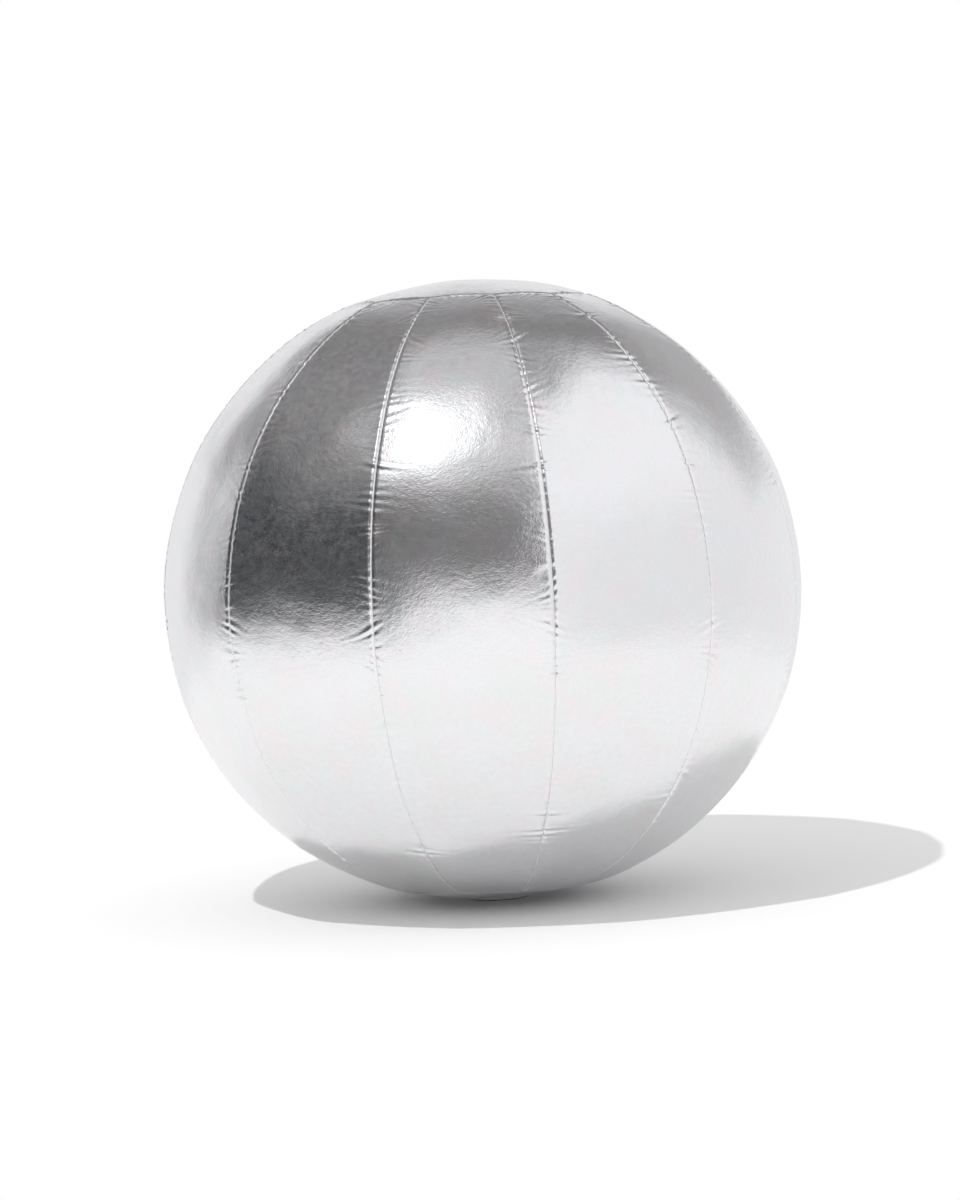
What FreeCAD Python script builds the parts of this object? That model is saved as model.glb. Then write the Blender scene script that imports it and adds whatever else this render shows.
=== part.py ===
import FreeCAD, Part
import math
import os

import Sketcher
from FreeCAD import Placement, Rotation, Vector

# Exercise ball with a sewn cover: twelve gores, a top cap, a bottom cap on a small foot, a zip in one
# rear seam, and an inflated bladder inside. Millimetres and degrees, +Z up, origin on the floor under
# the middle of the foot. Azimuths run from -Y (the front) towards +X.

SIZES = {
    "gore_count": 12,
    "waist_radius": 273.0,  # from the ball's axis to the middle of a gore, at the widest height
    "waist_height": 265.0,  # widest height above the floor
    "flat_offset": 120.0,  # how far behind the ball's axis each gore's cross-section is centred
    "cap_radius": 104.0,  # axis to a corner of either twelve-sided cap
    "cap_rise": 252.0,  # waist to the top cap's edge
    "cap_drop": 248.0,  # waist to the bottom cap's edge
    "top_dome": 16.5,  # how far the top cap bulges above its edge
    "bottom_dome": 9.0,
    "bottom_flat_radius": 46.0,  # flat middle of the bottom cap, where the foot is clamped
    "cover_thickness": 1.5,
    "seam_gap": 0.3,
    "end_angle": 72.0,  # the meridian arcs run this far from the waist, past the caps' edges
    "binding_depth": 1.9,
    "binding_thickness": 0.8,
    "binding_width": 16.0,
    "binding_angle": 66.5,
    "bladder_depth": 5.0,
    "bladder_wall": 1.1,
    "bladder_rise": 265.0,  # waist to the bladder's small flat top
    "bladder_drop": 248.5,  # waist to its flat bottom, which rests on the foot's plate and screws
    "zip_top_angle": 0.2,
    "zip_bottom_angle": 66.0,
    "zip_half_width": 4.8,  # seam to the turned edge of the cover on each side
    "slot_reach": 10.0,
    "slot_past_tape": 0.3,  # degrees that the zip's opening runs on past the tapes
    "tape_depth": 1.8,  # depths are under the cover's outside
    "tape_thickness": 0.6,
    "tape_inner": 3.35,
    "tape_outer": 15.0,
    "coil_depth": 0.9,
    "coil_thickness": 2.2,
    "coil_inner": 0.9,
    "coil_outer": 3.3,
    "stop_depth": 0.7,
    "stop_thickness": 2.6,
    "stop_angle": 0.7,
    "stop_inset": 0.2,  # degrees from the tapes' upper end to the top stops
    "slider_width": 8.9,
    "slider_angle": 3.2,
    "slider_rise": 0.95,
    "slider_plate": 1.4,
    "slider_flange_depth": 1.3,
    "slider_channel": 7.5,
    "slider_back_depth": 3.8,
    "slider_back_plate": 1.0,
    "weld": 0.2,  # how far the slider's parts run into each other where they join
    "wedge_width": 1.0,
    "wedge_angle": 0.6,
    "lug_width": 7.6,
    "lug_gap": 5.0,
    "lug_length": 3.2,
    "pin_rise": 3.0,
    "pin_radius": 0.7,
    "pin_clearance": 0.05,
    "eye_radius": 1.5,
    "pull_neck_width": 4.4,
    "pull_neck_length": 6.0,
    "pull_width": 9.0,
    "pull_length": 31.0,
    "pull_thickness": 1.5,
    "pull_corner": 2.2,
    "pull_hole_radius": 1.8,
    "valve_angle": 20.0,
    "valve_radius": 6.0,
    "valve_flange_radius": 12.0,
    "valve_flange": 1.6,
    "valve_length": 18.0,
    "valve_sink": 0.4,
    "valve_fit": 0.05,
    "plug_bore": 2.55,
    "plug_shank": 2.5,
    "plug_recess_radius": 4.9,
    "plug_recess": 1.8,
    "plug_head_radius": 4.7,
    "plug_head": 1.5,
    "plug_length": 16.0,
    "foot_sole_radius": 27.0,
    "foot_top_radius": 34.0,
    "foot_height": 8.0,
    "foot_rim": 0.8,
    "sole_radius": 24.5,
    "sole_recess_radius": 24.7,
    "sole_recess": 3.1,
    "sole_thickness": 3.0,
    "plate_radius": 44.0,
    "plate_thickness": 2.5,
    "screw_circle": 20.0,
    "screw_radius": 1.7,
    "screw_hole": 2.1,
    "pilot_hole": 1.75,
    "screw_head_radius": 3.5,
    "screw_crown_radius": 2.1,
    "screw_head": 2.0,
    "screw_length": 8.0,
}

FRONT_TO_X = -90.0  # a gore or seam is drawn along +X, and this turns +X to the front
GORE_STEP = 360.0 / SIZES["gore_count"]
ZIP_AZIMUTH = 195.0
ZIP_GORES = (7, 8)
VALVE_AZIMUTH = 150.0
SLIDER_REST = 1.3  # degrees from the waist down to the slider's upper end, just below the top stops
STOP_ROOM = 1.2  # degrees that the bottom stop takes, above the tapes' lower end
SCREW_COUNT = 4
EYE_ROOM = 0.3
BACK_REACH = 20.0  # blanks are cut away this far behind the ball's axis
TRIM_REACH = 300.0  # beyond the widest radius
TRIM_EDGE = 320.0
TRIM_SIDE = 130.0
GORE_SWEEP = 24.0  # wide enough for a gore before its sides are trimmed
AXIS_HALF = 10.0  # half the drawn length of a gore's turning axis
DOME_OVERRUN = 3.0  # a cap's dome before its sides are cut
CAP_SCRAP = 30.0
EDGE_MATCH = 0.01  # how closely an edge's place and length have to match

doc = FreeCAD.newDocument("exercise_ball")
sheet = doc.addObject("Spreadsheet::Sheet", "Sizes")
for row, (alias, value) in enumerate(SIZES.items(), start=1):
    sheet.set(f"A{row}", alias)
    sheet.set(f"B{row}", str(value))
    sheet.setAlias(f"B{row}", alias)
doc.recompute()

HALF_GORE = "180 deg / Sizes.gore_count"
CAP_APOTHEM = f"Sizes.cap_radius * cos({HALF_GORE})"
half_gore = math.radians(GORE_STEP / 2)
cap_apothem = SIZES["cap_radius"] * math.cos(half_gore)


def seam_radius(radius):
    """Where a gore whose middle stands at this radius meets its seam."""
    offset = SIZES["flat_offset"]
    across = offset * math.sin(half_gore)
    return math.sqrt((radius + offset) ** 2 - across**2) - offset * math.cos(half_gore)


def seam_text(radius):
    """The same as an expression for the sheet."""
    across = f"Sizes.flat_offset * sin({HALF_GORE})"
    return (
        f"(sqrt(({radius} + Sizes.flat_offset)^2 - ({across})^2)"
        f" - Sizes.flat_offset * cos({HALF_GORE}))"
    )


class Meridian:
    """One arc that stands upright at the waist and passes through the edge of a cap."""

    def __init__(self, waist, edge, height, waist_text, edge_text, height_text):
        inset = waist - edge
        self.radius = (inset**2 + height**2) / (2 * inset)
        self.centre = waist - self.radius
        inset_text = f"({waist_text} - {edge_text})"
        self.radius_text = f"(({inset_text}^2 + {height_text}^2) / (2 * {inset_text}))"
        self.centre_text = f"({waist_text} - {self.radius_text})"


UPPER = Meridian(
    SIZES["waist_radius"], cap_apothem, SIZES["cap_rise"],
    "Sizes.waist_radius", CAP_APOTHEM, "Sizes.cap_rise",
)
LOWER = Meridian(
    SIZES["waist_radius"], cap_apothem, SIZES["cap_drop"],
    "Sizes.waist_radius", CAP_APOTHEM, "Sizes.cap_drop",
)
SEAM = Meridian(
    seam_radius(SIZES["waist_radius"]), seam_radius(cap_apothem), SIZES["cap_drop"],
    seam_text("Sizes.waist_radius"), seam_text(CAP_APOTHEM), "Sizes.cap_drop",
)

SLIDER_MIDDLE = f"({SLIDER_REST} + Sizes.slider_angle / 2) * 1 deg"
PIN_X = f"({SEAM.centre_text} + ({SEAM.radius_text} + Sizes.pin_rise) * cos({SLIDER_MIDDLE}))"
PIN_Z = f"(-({SEAM.radius_text} + Sizes.pin_rise) * sin({SLIDER_MIDDLE}))"

START, END, CENTRE = 1, 2, 3
ORIGIN, ORIGIN_POINT, X_AXIS, Y_AXIS = -1, 1, -1, -2


def new_body(label, azimuth=None, height_text="Sizes.waist_height"):
    """A body drawn in the XZ plane, turned to its azimuth and lifted to its height."""
    body = doc.addObject("PartDesign::Body", label)
    turn = 0.0 if azimuth is None else azimuth + FRONT_TO_X
    body.Placement = Placement(Vector(0, 0, 0), Rotation(Vector(0, 0, 1), turn))
    if height_text:
        body.setExpression(".Placement.Base.z", height_text)
    return body


def new_sketch(body, name, plane="XZ_Plane"):
    base = [f for f in body.Origin.OriginFeatures if f.Role == plane][0]
    sketch = body.newObject("Sketcher::SketchObject", name)
    sketch.AttachmentSupport = (base, [""])
    sketch.MapMode = "FlatFace"
    return sketch


def add(sketch, kind, *args):
    return sketch.addConstraint(Sketcher.Constraint(kind, *args))


def bind(sketch, index, text):
    if text is not None:
        sketch.setExpression(f"Constraints[{index}]", text)


def pin_x(sketch, geometry, end, text):
    """Holds one point's distance from the sketch's vertical axis to an expression."""
    here = sketch.getPoint(geometry, end).x
    ends = (ORIGIN, ORIGIN_POINT, geometry, end)
    if here < 0:
        ends = (geometry, end, ORIGIN, ORIGIN_POINT)
    bind(sketch, add(sketch, "DistanceX", *ends, abs(here)), text)


def pin_y(sketch, geometry, end, text):
    here = sketch.getPoint(geometry, end).y
    ends = (ORIGIN, ORIGIN_POINT, geometry, end)
    if here < 0:
        ends = (geometry, end, ORIGIN, ORIGIN_POINT)
    bind(sketch, add(sketch, "DistanceY", *ends, abs(here)), text)


def polygon(sketch, corners):
    """A closed outline of (x, y, x_text, y_text) corners; a text of None lies on that axis."""
    count = len(corners)
    for i, (x, y, _, _) in enumerate(corners):
        following = corners[(i + 1) % count]
        sketch.addGeometry(Part.LineSegment(Vector(x, y, 0), Vector(following[0], following[1], 0)))
    first = sketch.GeometryCount - count
    for i in range(count):
        add(sketch, "Coincident", first + i, END, first + (i + 1) % count, START)
    for i, (_, _, x_text, y_text) in enumerate(corners):
        if x_text is None:
            add(sketch, "PointOnObject", first + i, START, Y_AXIS)
        else:
            pin_x(sketch, first + i, START, x_text)
        if y_text is None:
            add(sketch, "PointOnObject", first + i, START, X_AXIS)
        else:
            pin_y(sketch, first + i, START, y_text)


def circle(sketch, radius, radius_text, x=0.0, x_text=None, y=0.0, y_text=None):
    made = sketch.addGeometry(Part.Circle(Vector(x, y, 0), Vector(0, 0, 1), radius))
    if x_text is None:
        add(sketch, "PointOnObject", made, CENTRE, Y_AXIS)
    else:
        pin_x(sketch, made, CENTRE, x_text)
    if y_text is None:
        add(sketch, "PointOnObject", made, CENTRE, X_AXIS)
    else:
        pin_y(sketch, made, CENTRE, y_text)
    bind(sketch, add(sketch, "Radius", made, radius), radius_text)
    return made


def arc(centre, radius, from_angle, to_angle):
    whole = Part.Circle(Vector(centre[0], centre[1], 0), Vector(0, 0, 1), radius)
    return Part.ArcOfCircle(whole, math.radians(from_angle), math.radians(to_angle))


def radial_end(sketch, outer, inner, end, centre_of, angle, angle_text):
    """Closes two concentric arcs with a line along their radius, at an angle from the waist."""
    line = sketch.addGeometry(
        Part.LineSegment(sketch.getPoint(inner, end), sketch.getPoint(outer, end))
    )
    add(sketch, "Coincident", line, START, inner, end)
    add(sketch, "Coincident", line, END, outer, end)
    add(sketch, "PointOnObject", centre_of, CENTRE, line)
    held = add(sketch, "Angle", line, math.radians(angle))
    bind(sketch, held, angle_text)


def ring_section(sketch, depth, thickness, angle, depth_text, thickness_text, angle_text):
    """The cover's section from near one cap to near the other, at a depth under its outside."""
    layers = []
    both = ((depth, depth_text), (depth + thickness, f"({depth_text} + {thickness_text})"))
    for below, below_text in both:
        up = sketch.addGeometry(arc((UPPER.centre, 0), UPPER.radius - below, 0, angle))
        down = sketch.addGeometry(arc((LOWER.centre, 0), LOWER.radius - below, -angle, 0))
        layers.append((up, down))
        if len(layers) == 1:
            for half, meridian in ((up, UPPER), (down, LOWER)):
                add(sketch, "PointOnObject", half, CENTRE, X_AXIS)
                pin_x(sketch, half, CENTRE, meridian.centre_text)
        else:
            add(sketch, "Coincident", up, CENTRE, layers[0][0], CENTRE)
            add(sketch, "Coincident", down, CENTRE, layers[0][1], CENTRE)
        radius = add(sketch, "Radius", up, UPPER.radius - below)
        bind(sketch, radius, f"{UPPER.radius_text} - {below_text}")
        add(sketch, "PointOnObject", up, START, X_AXIS)
        add(sketch, "Coincident", down, END, up, START)
    (outer_up, outer_down), (inner_up, inner_down) = layers
    radial_end(sketch, outer_up, inner_up, END, outer_up, angle, angle_text)
    radial_end(sketch, outer_down, inner_down, START, outer_down, -angle, f"-{angle_text}")


def arc_section(sketch, meridian, depth, thickness, top, bottom, texts):
    """A curved bar's section below the waist, between two angles under it; texts bind all four."""
    depth_text, thickness_text, top_text, bottom_text = texts
    outer = sketch.addGeometry(arc((meridian.centre, 0), meridian.radius - depth, -bottom, -top))
    inner = sketch.addGeometry(
        arc((meridian.centre, 0), meridian.radius - depth - thickness, -bottom, -top)
    )
    add(sketch, "PointOnObject", outer, CENTRE, X_AXIS)
    pin_x(sketch, outer, CENTRE, meridian.centre_text)
    add(sketch, "Coincident", inner, CENTRE, outer, CENTRE)
    held = add(sketch, "Radius", outer, meridian.radius - depth)
    bind(sketch, held, f"{meridian.radius_text} - ({depth_text})")
    held = add(sketch, "Radius", inner, meridian.radius - depth - thickness)
    bind(sketch, held, f"{meridian.radius_text} - ({depth_text}) - ({thickness_text})")
    radial_end(sketch, outer, inner, END, outer, -top, f"-({top_text})")
    radial_end(sketch, outer, inner, START, outer, -bottom, f"-({bottom_text})")


def pad(body, sketch, name, length_text):
    """A pad half to each side of its sketch."""
    feature = body.newObject("PartDesign::Pad", name)
    feature.Profile = sketch
    feature.Midplane = True
    feature.setExpression("Length", length_text)
    sketch.Visibility = False
    return feature


def pocket(body, sketch, name, length_text):
    """A pocket half to each side of its sketch."""
    feature = body.newObject("PartDesign::Pocket", name)
    feature.Profile = sketch
    feature.Midplane = True
    feature.setExpression("Length", length_text)
    sketch.Visibility = False
    return feature


def revolve(body, sketch, name, axis, angle=360.0, kind="PartDesign::Revolution"):
    feature = body.newObject(kind, name)
    feature.Profile = sketch
    feature.ReferenceAxis = (sketch, [axis])
    feature.Angle = angle
    feature.Midplane = angle < 360.0
    sketch.Visibility = False
    return feature


def gore_axis(sketch):
    """The upright line that a gore's surface is turned about, flat_offset behind the ball's axis."""
    x = -SIZES["flat_offset"]
    ends = (Vector(x, -AXIS_HALF, 0), Vector(x, AXIS_HALF, 0))
    line = sketch.addGeometry(Part.LineSegment(*ends), True)
    add(sketch, "Vertical", line)
    pin_x(sketch, line, START, "Sizes.flat_offset")
    pin_y(sketch, line, START, str(AXIS_HALF))
    pin_y(sketch, line, END, str(AXIS_HALF))


def trim_to(body, name, corners):
    """Removes all of a body outside an outline seen from above."""
    sketch = new_sketch(body, name + "_outline", "XY_Plane")
    polygon(
        sketch,
        [
            (-BACK_REACH, -TRIM_SIDE, str(BACK_REACH), str(TRIM_SIDE)),
            (TRIM_EDGE, -TRIM_SIDE, str(TRIM_EDGE), str(TRIM_SIDE)),
            (TRIM_EDGE, TRIM_SIDE, str(TRIM_EDGE), str(TRIM_SIDE)),
            (-BACK_REACH, TRIM_SIDE, str(BACK_REACH), str(TRIM_SIDE)),
        ],
    )
    polygon(sketch, corners)
    return pocket(body, sketch, name, "4 * Sizes.waist_radius")


def gore(label, azimuth):
    """One petal of the cover, with straight ends against the caps and half a seam gap all round."""
    body = new_body(label, azimuth)
    section = new_sketch(body, label + "_section")
    gore_axis(section)
    ring_section(
        section, 0.0, SIZES["cover_thickness"], SIZES["end_angle"],
        "0", "Sizes.cover_thickness", "Sizes.end_angle * 1 deg",
    )
    revolve(body, section, label + "_petal", "Axis0", GORE_SWEEP)
    gap = SIZES["seam_gap"] / 2
    near = cap_apothem + gap
    corners = []
    for x, x_text, side in (
        (near, f"{CAP_APOTHEM} + Sizes.seam_gap / 2", -1),
        (TRIM_REACH, str(TRIM_REACH), -1),
        (TRIM_REACH, str(TRIM_REACH), 1),
        (near, f"{CAP_APOTHEM} + Sizes.seam_gap / 2", 1),
    ):
        y = x * math.tan(half_gore) - gap / math.cos(half_gore)
        y_text = f"({x_text}) * tan({HALF_GORE}) - Sizes.seam_gap / 2 / cos({HALF_GORE})"
        corners.append((x, side * y, x_text, y_text))
    trim_to(body, label + "_trim", corners)
    return body


def gore_strip(label, azimuth, side, across, section):
    """A strip that follows a gore's curve beside the zip's seam, between two distances from it."""
    (near, near_text), (far, far_text) = across
    depth, thickness, top, bottom, texts = section
    body = new_body(label, azimuth)
    sketch = new_sketch(body, label + "_section")
    gore_axis(sketch)
    arc_section(sketch, LOWER, depth, thickness, top, bottom, texts)
    revolve(body, sketch, label + "_bend", "Axis0", GORE_SWEEP)
    corners = []
    for x, away, away_text in (
        (cap_apothem, far, far_text),
        (TRIM_REACH, far, far_text),
        (TRIM_REACH, near, near_text),
        (cap_apothem, near, near_text),
    ):
        x_text = CAP_APOTHEM if x == cap_apothem else str(TRIM_REACH)
        y = x * math.tan(half_gore) - away / math.cos(half_gore)
        y_text = f"abs(({x_text}) * tan({HALF_GORE}) - ({away_text}) / cos({HALF_GORE}))"
        corners.append((x, side * y, x_text, y_text))
    trim_to(body, label + "_trim", corners)
    return body


def seam_band(label, azimuth, section, width_text):
    """A flat strip bent along the zip's seam only, as wide as width_text."""
    depth, thickness, top, bottom, texts = section
    body = new_body(label, azimuth)
    sketch = new_sketch(body, label + "_section")
    arc_section(sketch, SEAM, depth, thickness, top, bottom, texts)
    pad(body, sketch, label + "_band", width_text)
    return body


def binding(label, azimuth):
    """The woven tape sewn over a seam's raw edges, inside the cover."""
    body = new_body(label, azimuth)
    sketch = new_sketch(body, label + "_section")
    ring_section(
        sketch, SIZES["binding_depth"], SIZES["binding_thickness"], SIZES["binding_angle"],
        "Sizes.binding_depth", "Sizes.binding_thickness", "Sizes.binding_angle * 1 deg",
    )
    pad(body, sketch, label + "_tape", "Sizes.binding_width")
    return body


def dome_section(sketch, sag, sag_text, edge, edge_text, flat, flat_text, sign):
    """A cap's curved section: flat out to one radius, then an arc through the cap's edge."""
    run = cap_apothem - flat
    run_text = f"({CAP_APOTHEM} - {flat_text})"
    radius = (run**2 + sag**2) / (2 * sag)
    radius_text = f"(({run_text}^2 + {sag_text}^2) / (2 * {sag_text}))"
    thickness = SIZES["cover_thickness"]
    pole = edge + sag
    reach = SIZES["cap_radius"] + DOME_OVERRUN
    reach_text = f"Sizes.cap_radius + {DOME_OVERRUN}"
    spans = []
    for inward, inward_text in ((0.0, "0"), (thickness, "Sizes.cover_thickness")):
        size = radius - inward
        lean = math.degrees(math.asin((reach - flat) / size))
        middle = (flat, sign * (pole - radius))
        if sign > 0:
            made = sketch.addGeometry(arc(middle, size, 90 - lean, 90))
            inner_end, outer_end = END, START
        else:
            made = sketch.addGeometry(arc(middle, size, 270, 270 + lean))
            inner_end, outer_end = START, END
        if flat:
            pin_x(sketch, made, CENTRE, flat_text)
        else:
            add(sketch, "PointOnObject", made, CENTRE, Y_AXIS)
        pin_y(sketch, made, CENTRE, f"abs({edge_text} + {sag_text} - {radius_text})")
        bind(sketch, add(sketch, "Radius", made, size), f"{radius_text} - {inward_text}")
        pin_x(sketch, made, outer_end, reach_text)
        if flat:
            pin_x(sketch, made, inner_end, flat_text)
            foot = Vector(0, sign * (pole - inward), 0)
            level = sketch.addGeometry(Part.LineSegment(foot, sketch.getPoint(made, inner_end)))
            add(sketch, "Coincident", level, END, made, inner_end)
            add(sketch, "Horizontal", level)
            add(sketch, "PointOnObject", level, START, Y_AXIS)
            spans.append((made, outer_end, level, START))
        else:
            add(sketch, "PointOnObject", made, inner_end, Y_AXIS)
            spans.append((made, outer_end, made, inner_end))
    for place in (0, 2):
        one, other = spans[0][place : place + 2], spans[1][place : place + 2]
        line = sketch.addGeometry(
            Part.LineSegment(sketch.getPoint(*one), sketch.getPoint(*other))
        )
        add(sketch, "Coincident", line, START, *one)
        add(sketch, "Coincident", line, END, *other)


def cap(label, sag, sag_text, edge, edge_text, flat, flat_text, sign):
    """A shallow dome cut to twelve straight sides, one for each gore."""
    body = new_body(label)
    section = new_sketch(body, label + "_section")
    dome_section(section, sag, sag_text, edge, edge_text, flat, flat_text, sign)
    revolve(body, section, label + "_dome", "V_Axis")
    sides = new_sketch(body, label + "_sides", "XY_Plane")
    circle(sides, SIZES["cap_radius"] + CAP_SCRAP, f"Sizes.cap_radius + {CAP_SCRAP}")
    gap_text = f"Sizes.seam_gap / 2 / cos({HALF_GORE})"
    corner = SIZES["cap_radius"] - SIZES["seam_gap"] / 2 / math.cos(half_gore)
    guide = circle(sides, corner, f"Sizes.cap_radius - {gap_text}")
    sides.toggleConstruction(guide)
    count = SIZES["gore_count"]
    points = []
    for i in range(count + 1):
        turn = math.radians(-90 - GORE_STEP / 2 + i * GORE_STEP)
        points.append(Vector(corner * math.cos(turn), corner * math.sin(turn), 0))
    first = sides.GeometryCount
    for i in range(count):
        sides.addGeometry(Part.LineSegment(points[i], points[i + 1]))
    for i in range(count):
        add(sides, "Coincident", first + i, END, first + (i + 1) % count, START)
        add(sides, "PointOnObject", first + i, START, guide)
    for i in range(1, count):
        add(sides, "Equal", first, first + i)
    add(sides, "Horizontal", first)
    pocket(body, sides, label + "_edge", "4 * Sizes.waist_radius")
    return body


def turned(label, corners, height_text=None):
    """A round piece about the ball's axis, from its half section."""
    body = new_body(label, None, height_text)
    sketch = new_sketch(body, label + "_section")
    polygon(sketch, corners)
    revolve(body, sketch, label + "_turned", "V_Axis")
    return body


def bladder_outline(sketch, depth, depth_text, inward, inward_text):
    """Half the bladder's outline: two arcs between its flat top and bottom, closed by the axis."""
    rise = SIZES["bladder_rise"] - inward
    rise_text = f"(Sizes.bladder_rise - {inward_text})"
    drop = SIZES["bladder_drop"] - inward
    drop_text = f"(Sizes.bladder_drop - {inward_text})"
    up_radius = UPPER.radius - depth
    down_radius = LOWER.radius - depth
    up = sketch.addGeometry(
        arc((UPPER.centre, 0), up_radius, 0, math.degrees(math.asin(rise / up_radius)))
    )
    down = sketch.addGeometry(
        arc((LOWER.centre, 0), down_radius, -math.degrees(math.asin(drop / down_radius)), 0)
    )
    for half, meridian in ((up, UPPER), (down, LOWER)):
        add(sketch, "PointOnObject", half, CENTRE, X_AXIS)
        pin_x(sketch, half, CENTRE, meridian.centre_text)
    bind(sketch, add(sketch, "Radius", up, up_radius), f"{UPPER.radius_text} - ({depth_text})")
    add(sketch, "PointOnObject", up, START, X_AXIS)
    add(sketch, "Coincident", down, END, up, START)
    pin_y(sketch, up, END, rise_text)
    pin_y(sketch, down, START, drop_text)
    pole, floor = Vector(0, rise, 0), Vector(0, -drop, 0)
    top_level = sketch.addGeometry(Part.LineSegment(pole, sketch.getPoint(up, END)))
    low_level = sketch.addGeometry(Part.LineSegment(floor, sketch.getPoint(down, START)))
    axis = sketch.addGeometry(Part.LineSegment(pole, floor))
    add(sketch, "Coincident", top_level, END, up, END)
    add(sketch, "Coincident", low_level, END, down, START)
    add(sketch, "Horizontal", top_level)
    add(sketch, "Horizontal", low_level)
    add(sketch, "PointOnObject", top_level, START, Y_AXIS)
    add(sketch, "Coincident", axis, START, top_level, START)
    add(sketch, "Coincident", axis, END, low_level, START)
    add(sketch, "Vertical", axis)


nodes = []


def keep(shape_object, label=None):
    """Names a finished piece, which is written as its own node."""
    if label:
        shape_object.Label = label
    nodes.append(shape_object)
    return shape_object


# The cover: twelve gores, two of them with an edge turned back along the zip, and two caps.
zip_slot = seam_band(
    "zip_slot", ZIP_AZIMUTH,
    (
        -SIZES["slot_reach"], 2 * SIZES["slot_reach"],
        -SIZES["slot_past_tape"], SIZES["zip_bottom_angle"] + SIZES["slot_past_tape"],
        ("-Sizes.slot_reach", "2 * Sizes.slot_reach", "-Sizes.slot_past_tape * 1 deg",
         "(Sizes.zip_bottom_angle + Sizes.slot_past_tape) * 1 deg"),
    ),
    "2 * Sizes.zip_half_width",
)
for number in range(1, SIZES["gore_count"] + 1):
    name = f"gore_{number:02d}"
    azimuth = (number - 1) * GORE_STEP
    if number in ZIP_GORES:
        blank = gore(name + "_blank", azimuth)
        cut = doc.addObject("Part::Cut", name)
        cut.Base = blank
        cut.Tool = zip_slot
        keep(cut)
    else:
        keep(gore(name, azimuth))

keep(cap(
    "top_cap", SIZES["top_dome"], "Sizes.top_dome", SIZES["cap_rise"], "Sizes.cap_rise",
    0.0, "0", 1,
))
bottom_blank = cap(
    "bottom_cap_blank", SIZES["bottom_dome"], "Sizes.bottom_dome",
    SIZES["cap_drop"], "Sizes.cap_drop",
    SIZES["bottom_flat_radius"], "Sizes.bottom_flat_radius", -1,
)

# Woven bindings inside every seam but the zip's.
binding_number = 0
for number in range(SIZES["gore_count"]):
    azimuth = (number + 0.5) * GORE_STEP
    if azimuth != ZIP_AZIMUTH:
        binding_number += 1
        keep(binding(f"seam_binding_{binding_number:02d}", azimuth))

# The zip: a tape and a row of teeth on each side of the seam, stops at both ends, slider and pull.
tape_top = SIZES["zip_top_angle"]
tape_bottom = SIZES["zip_bottom_angle"]
stop_top = tape_top + SIZES["stop_inset"]
STOP_TOP = "Sizes.zip_top_angle + Sizes.stop_inset"
for side, sign, gore_number in (("left", 1, ZIP_GORES[0]), ("right", -1, ZIP_GORES[1])):
    azimuth = (gore_number - 1) * GORE_STEP
    keep(gore_strip(
        f"zip_tape_{side}", azimuth, sign,
        ((SIZES["tape_inner"], "Sizes.tape_inner"), (SIZES["tape_outer"], "Sizes.tape_outer")),
        (SIZES["tape_depth"], SIZES["tape_thickness"], tape_top, tape_bottom,
         ("Sizes.tape_depth", "Sizes.tape_thickness", "Sizes.zip_top_angle * 1 deg",
          "Sizes.zip_bottom_angle * 1 deg")),
    ))
    keep(gore_strip(
        f"zip_teeth_{side}", azimuth, sign,
        ((SIZES["coil_inner"], "Sizes.coil_inner"), (SIZES["coil_outer"], "Sizes.coil_outer")),
        (SIZES["coil_depth"], SIZES["coil_thickness"], SLIDER_REST, tape_bottom - STOP_ROOM,
         ("Sizes.coil_depth", "Sizes.coil_thickness", f"{SLIDER_REST} deg",
          f"(Sizes.zip_bottom_angle - {STOP_ROOM}) * 1 deg")),
    ))
    keep(gore_strip(
        f"zip_top_stop_{side}", azimuth, sign,
        ((SIZES["coil_inner"], "Sizes.coil_inner"), (SIZES["coil_outer"], "Sizes.coil_outer")),
        (SIZES["stop_depth"], SIZES["stop_thickness"], stop_top, stop_top + SIZES["stop_angle"],
         ("Sizes.stop_depth", "Sizes.stop_thickness", f"({STOP_TOP}) * 1 deg",
          f"({STOP_TOP} + Sizes.stop_angle) * 1 deg")),
    ))
keep(seam_band(
    "zip_bottom_stop", ZIP_AZIMUTH,
    (SIZES["stop_depth"], SIZES["stop_thickness"], tape_bottom - SIZES["stop_angle"], tape_bottom,
     ("Sizes.stop_depth", "Sizes.stop_thickness",
      "(Sizes.zip_bottom_angle - Sizes.stop_angle) * 1 deg", "Sizes.zip_bottom_angle * 1 deg")),
    "2 * Sizes.coil_outer",
))


def pin_centre():
    """The pull's pin, at the middle of the slider's length, in the plane of the zip's seam."""
    middle = math.radians(SLIDER_REST + SIZES["slider_angle"] / 2)
    radius = SEAM.radius + SIZES["pin_rise"]
    return SEAM.centre + radius * math.cos(middle), -radius * math.sin(middle)


def box_outline(sketch, x, z, x_texts, z_texts):
    """A rectangle from its two x and its two z values."""
    polygon(sketch, [
        (x[0], z[0], x_texts[0], z_texts[0]),
        (x[1], z[0], x_texts[1], z_texts[0]),
        (x[1], z[1], x_texts[1], z_texts[1]),
        (x[0], z[1], x_texts[0], z_texts[1]),
    ])


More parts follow.
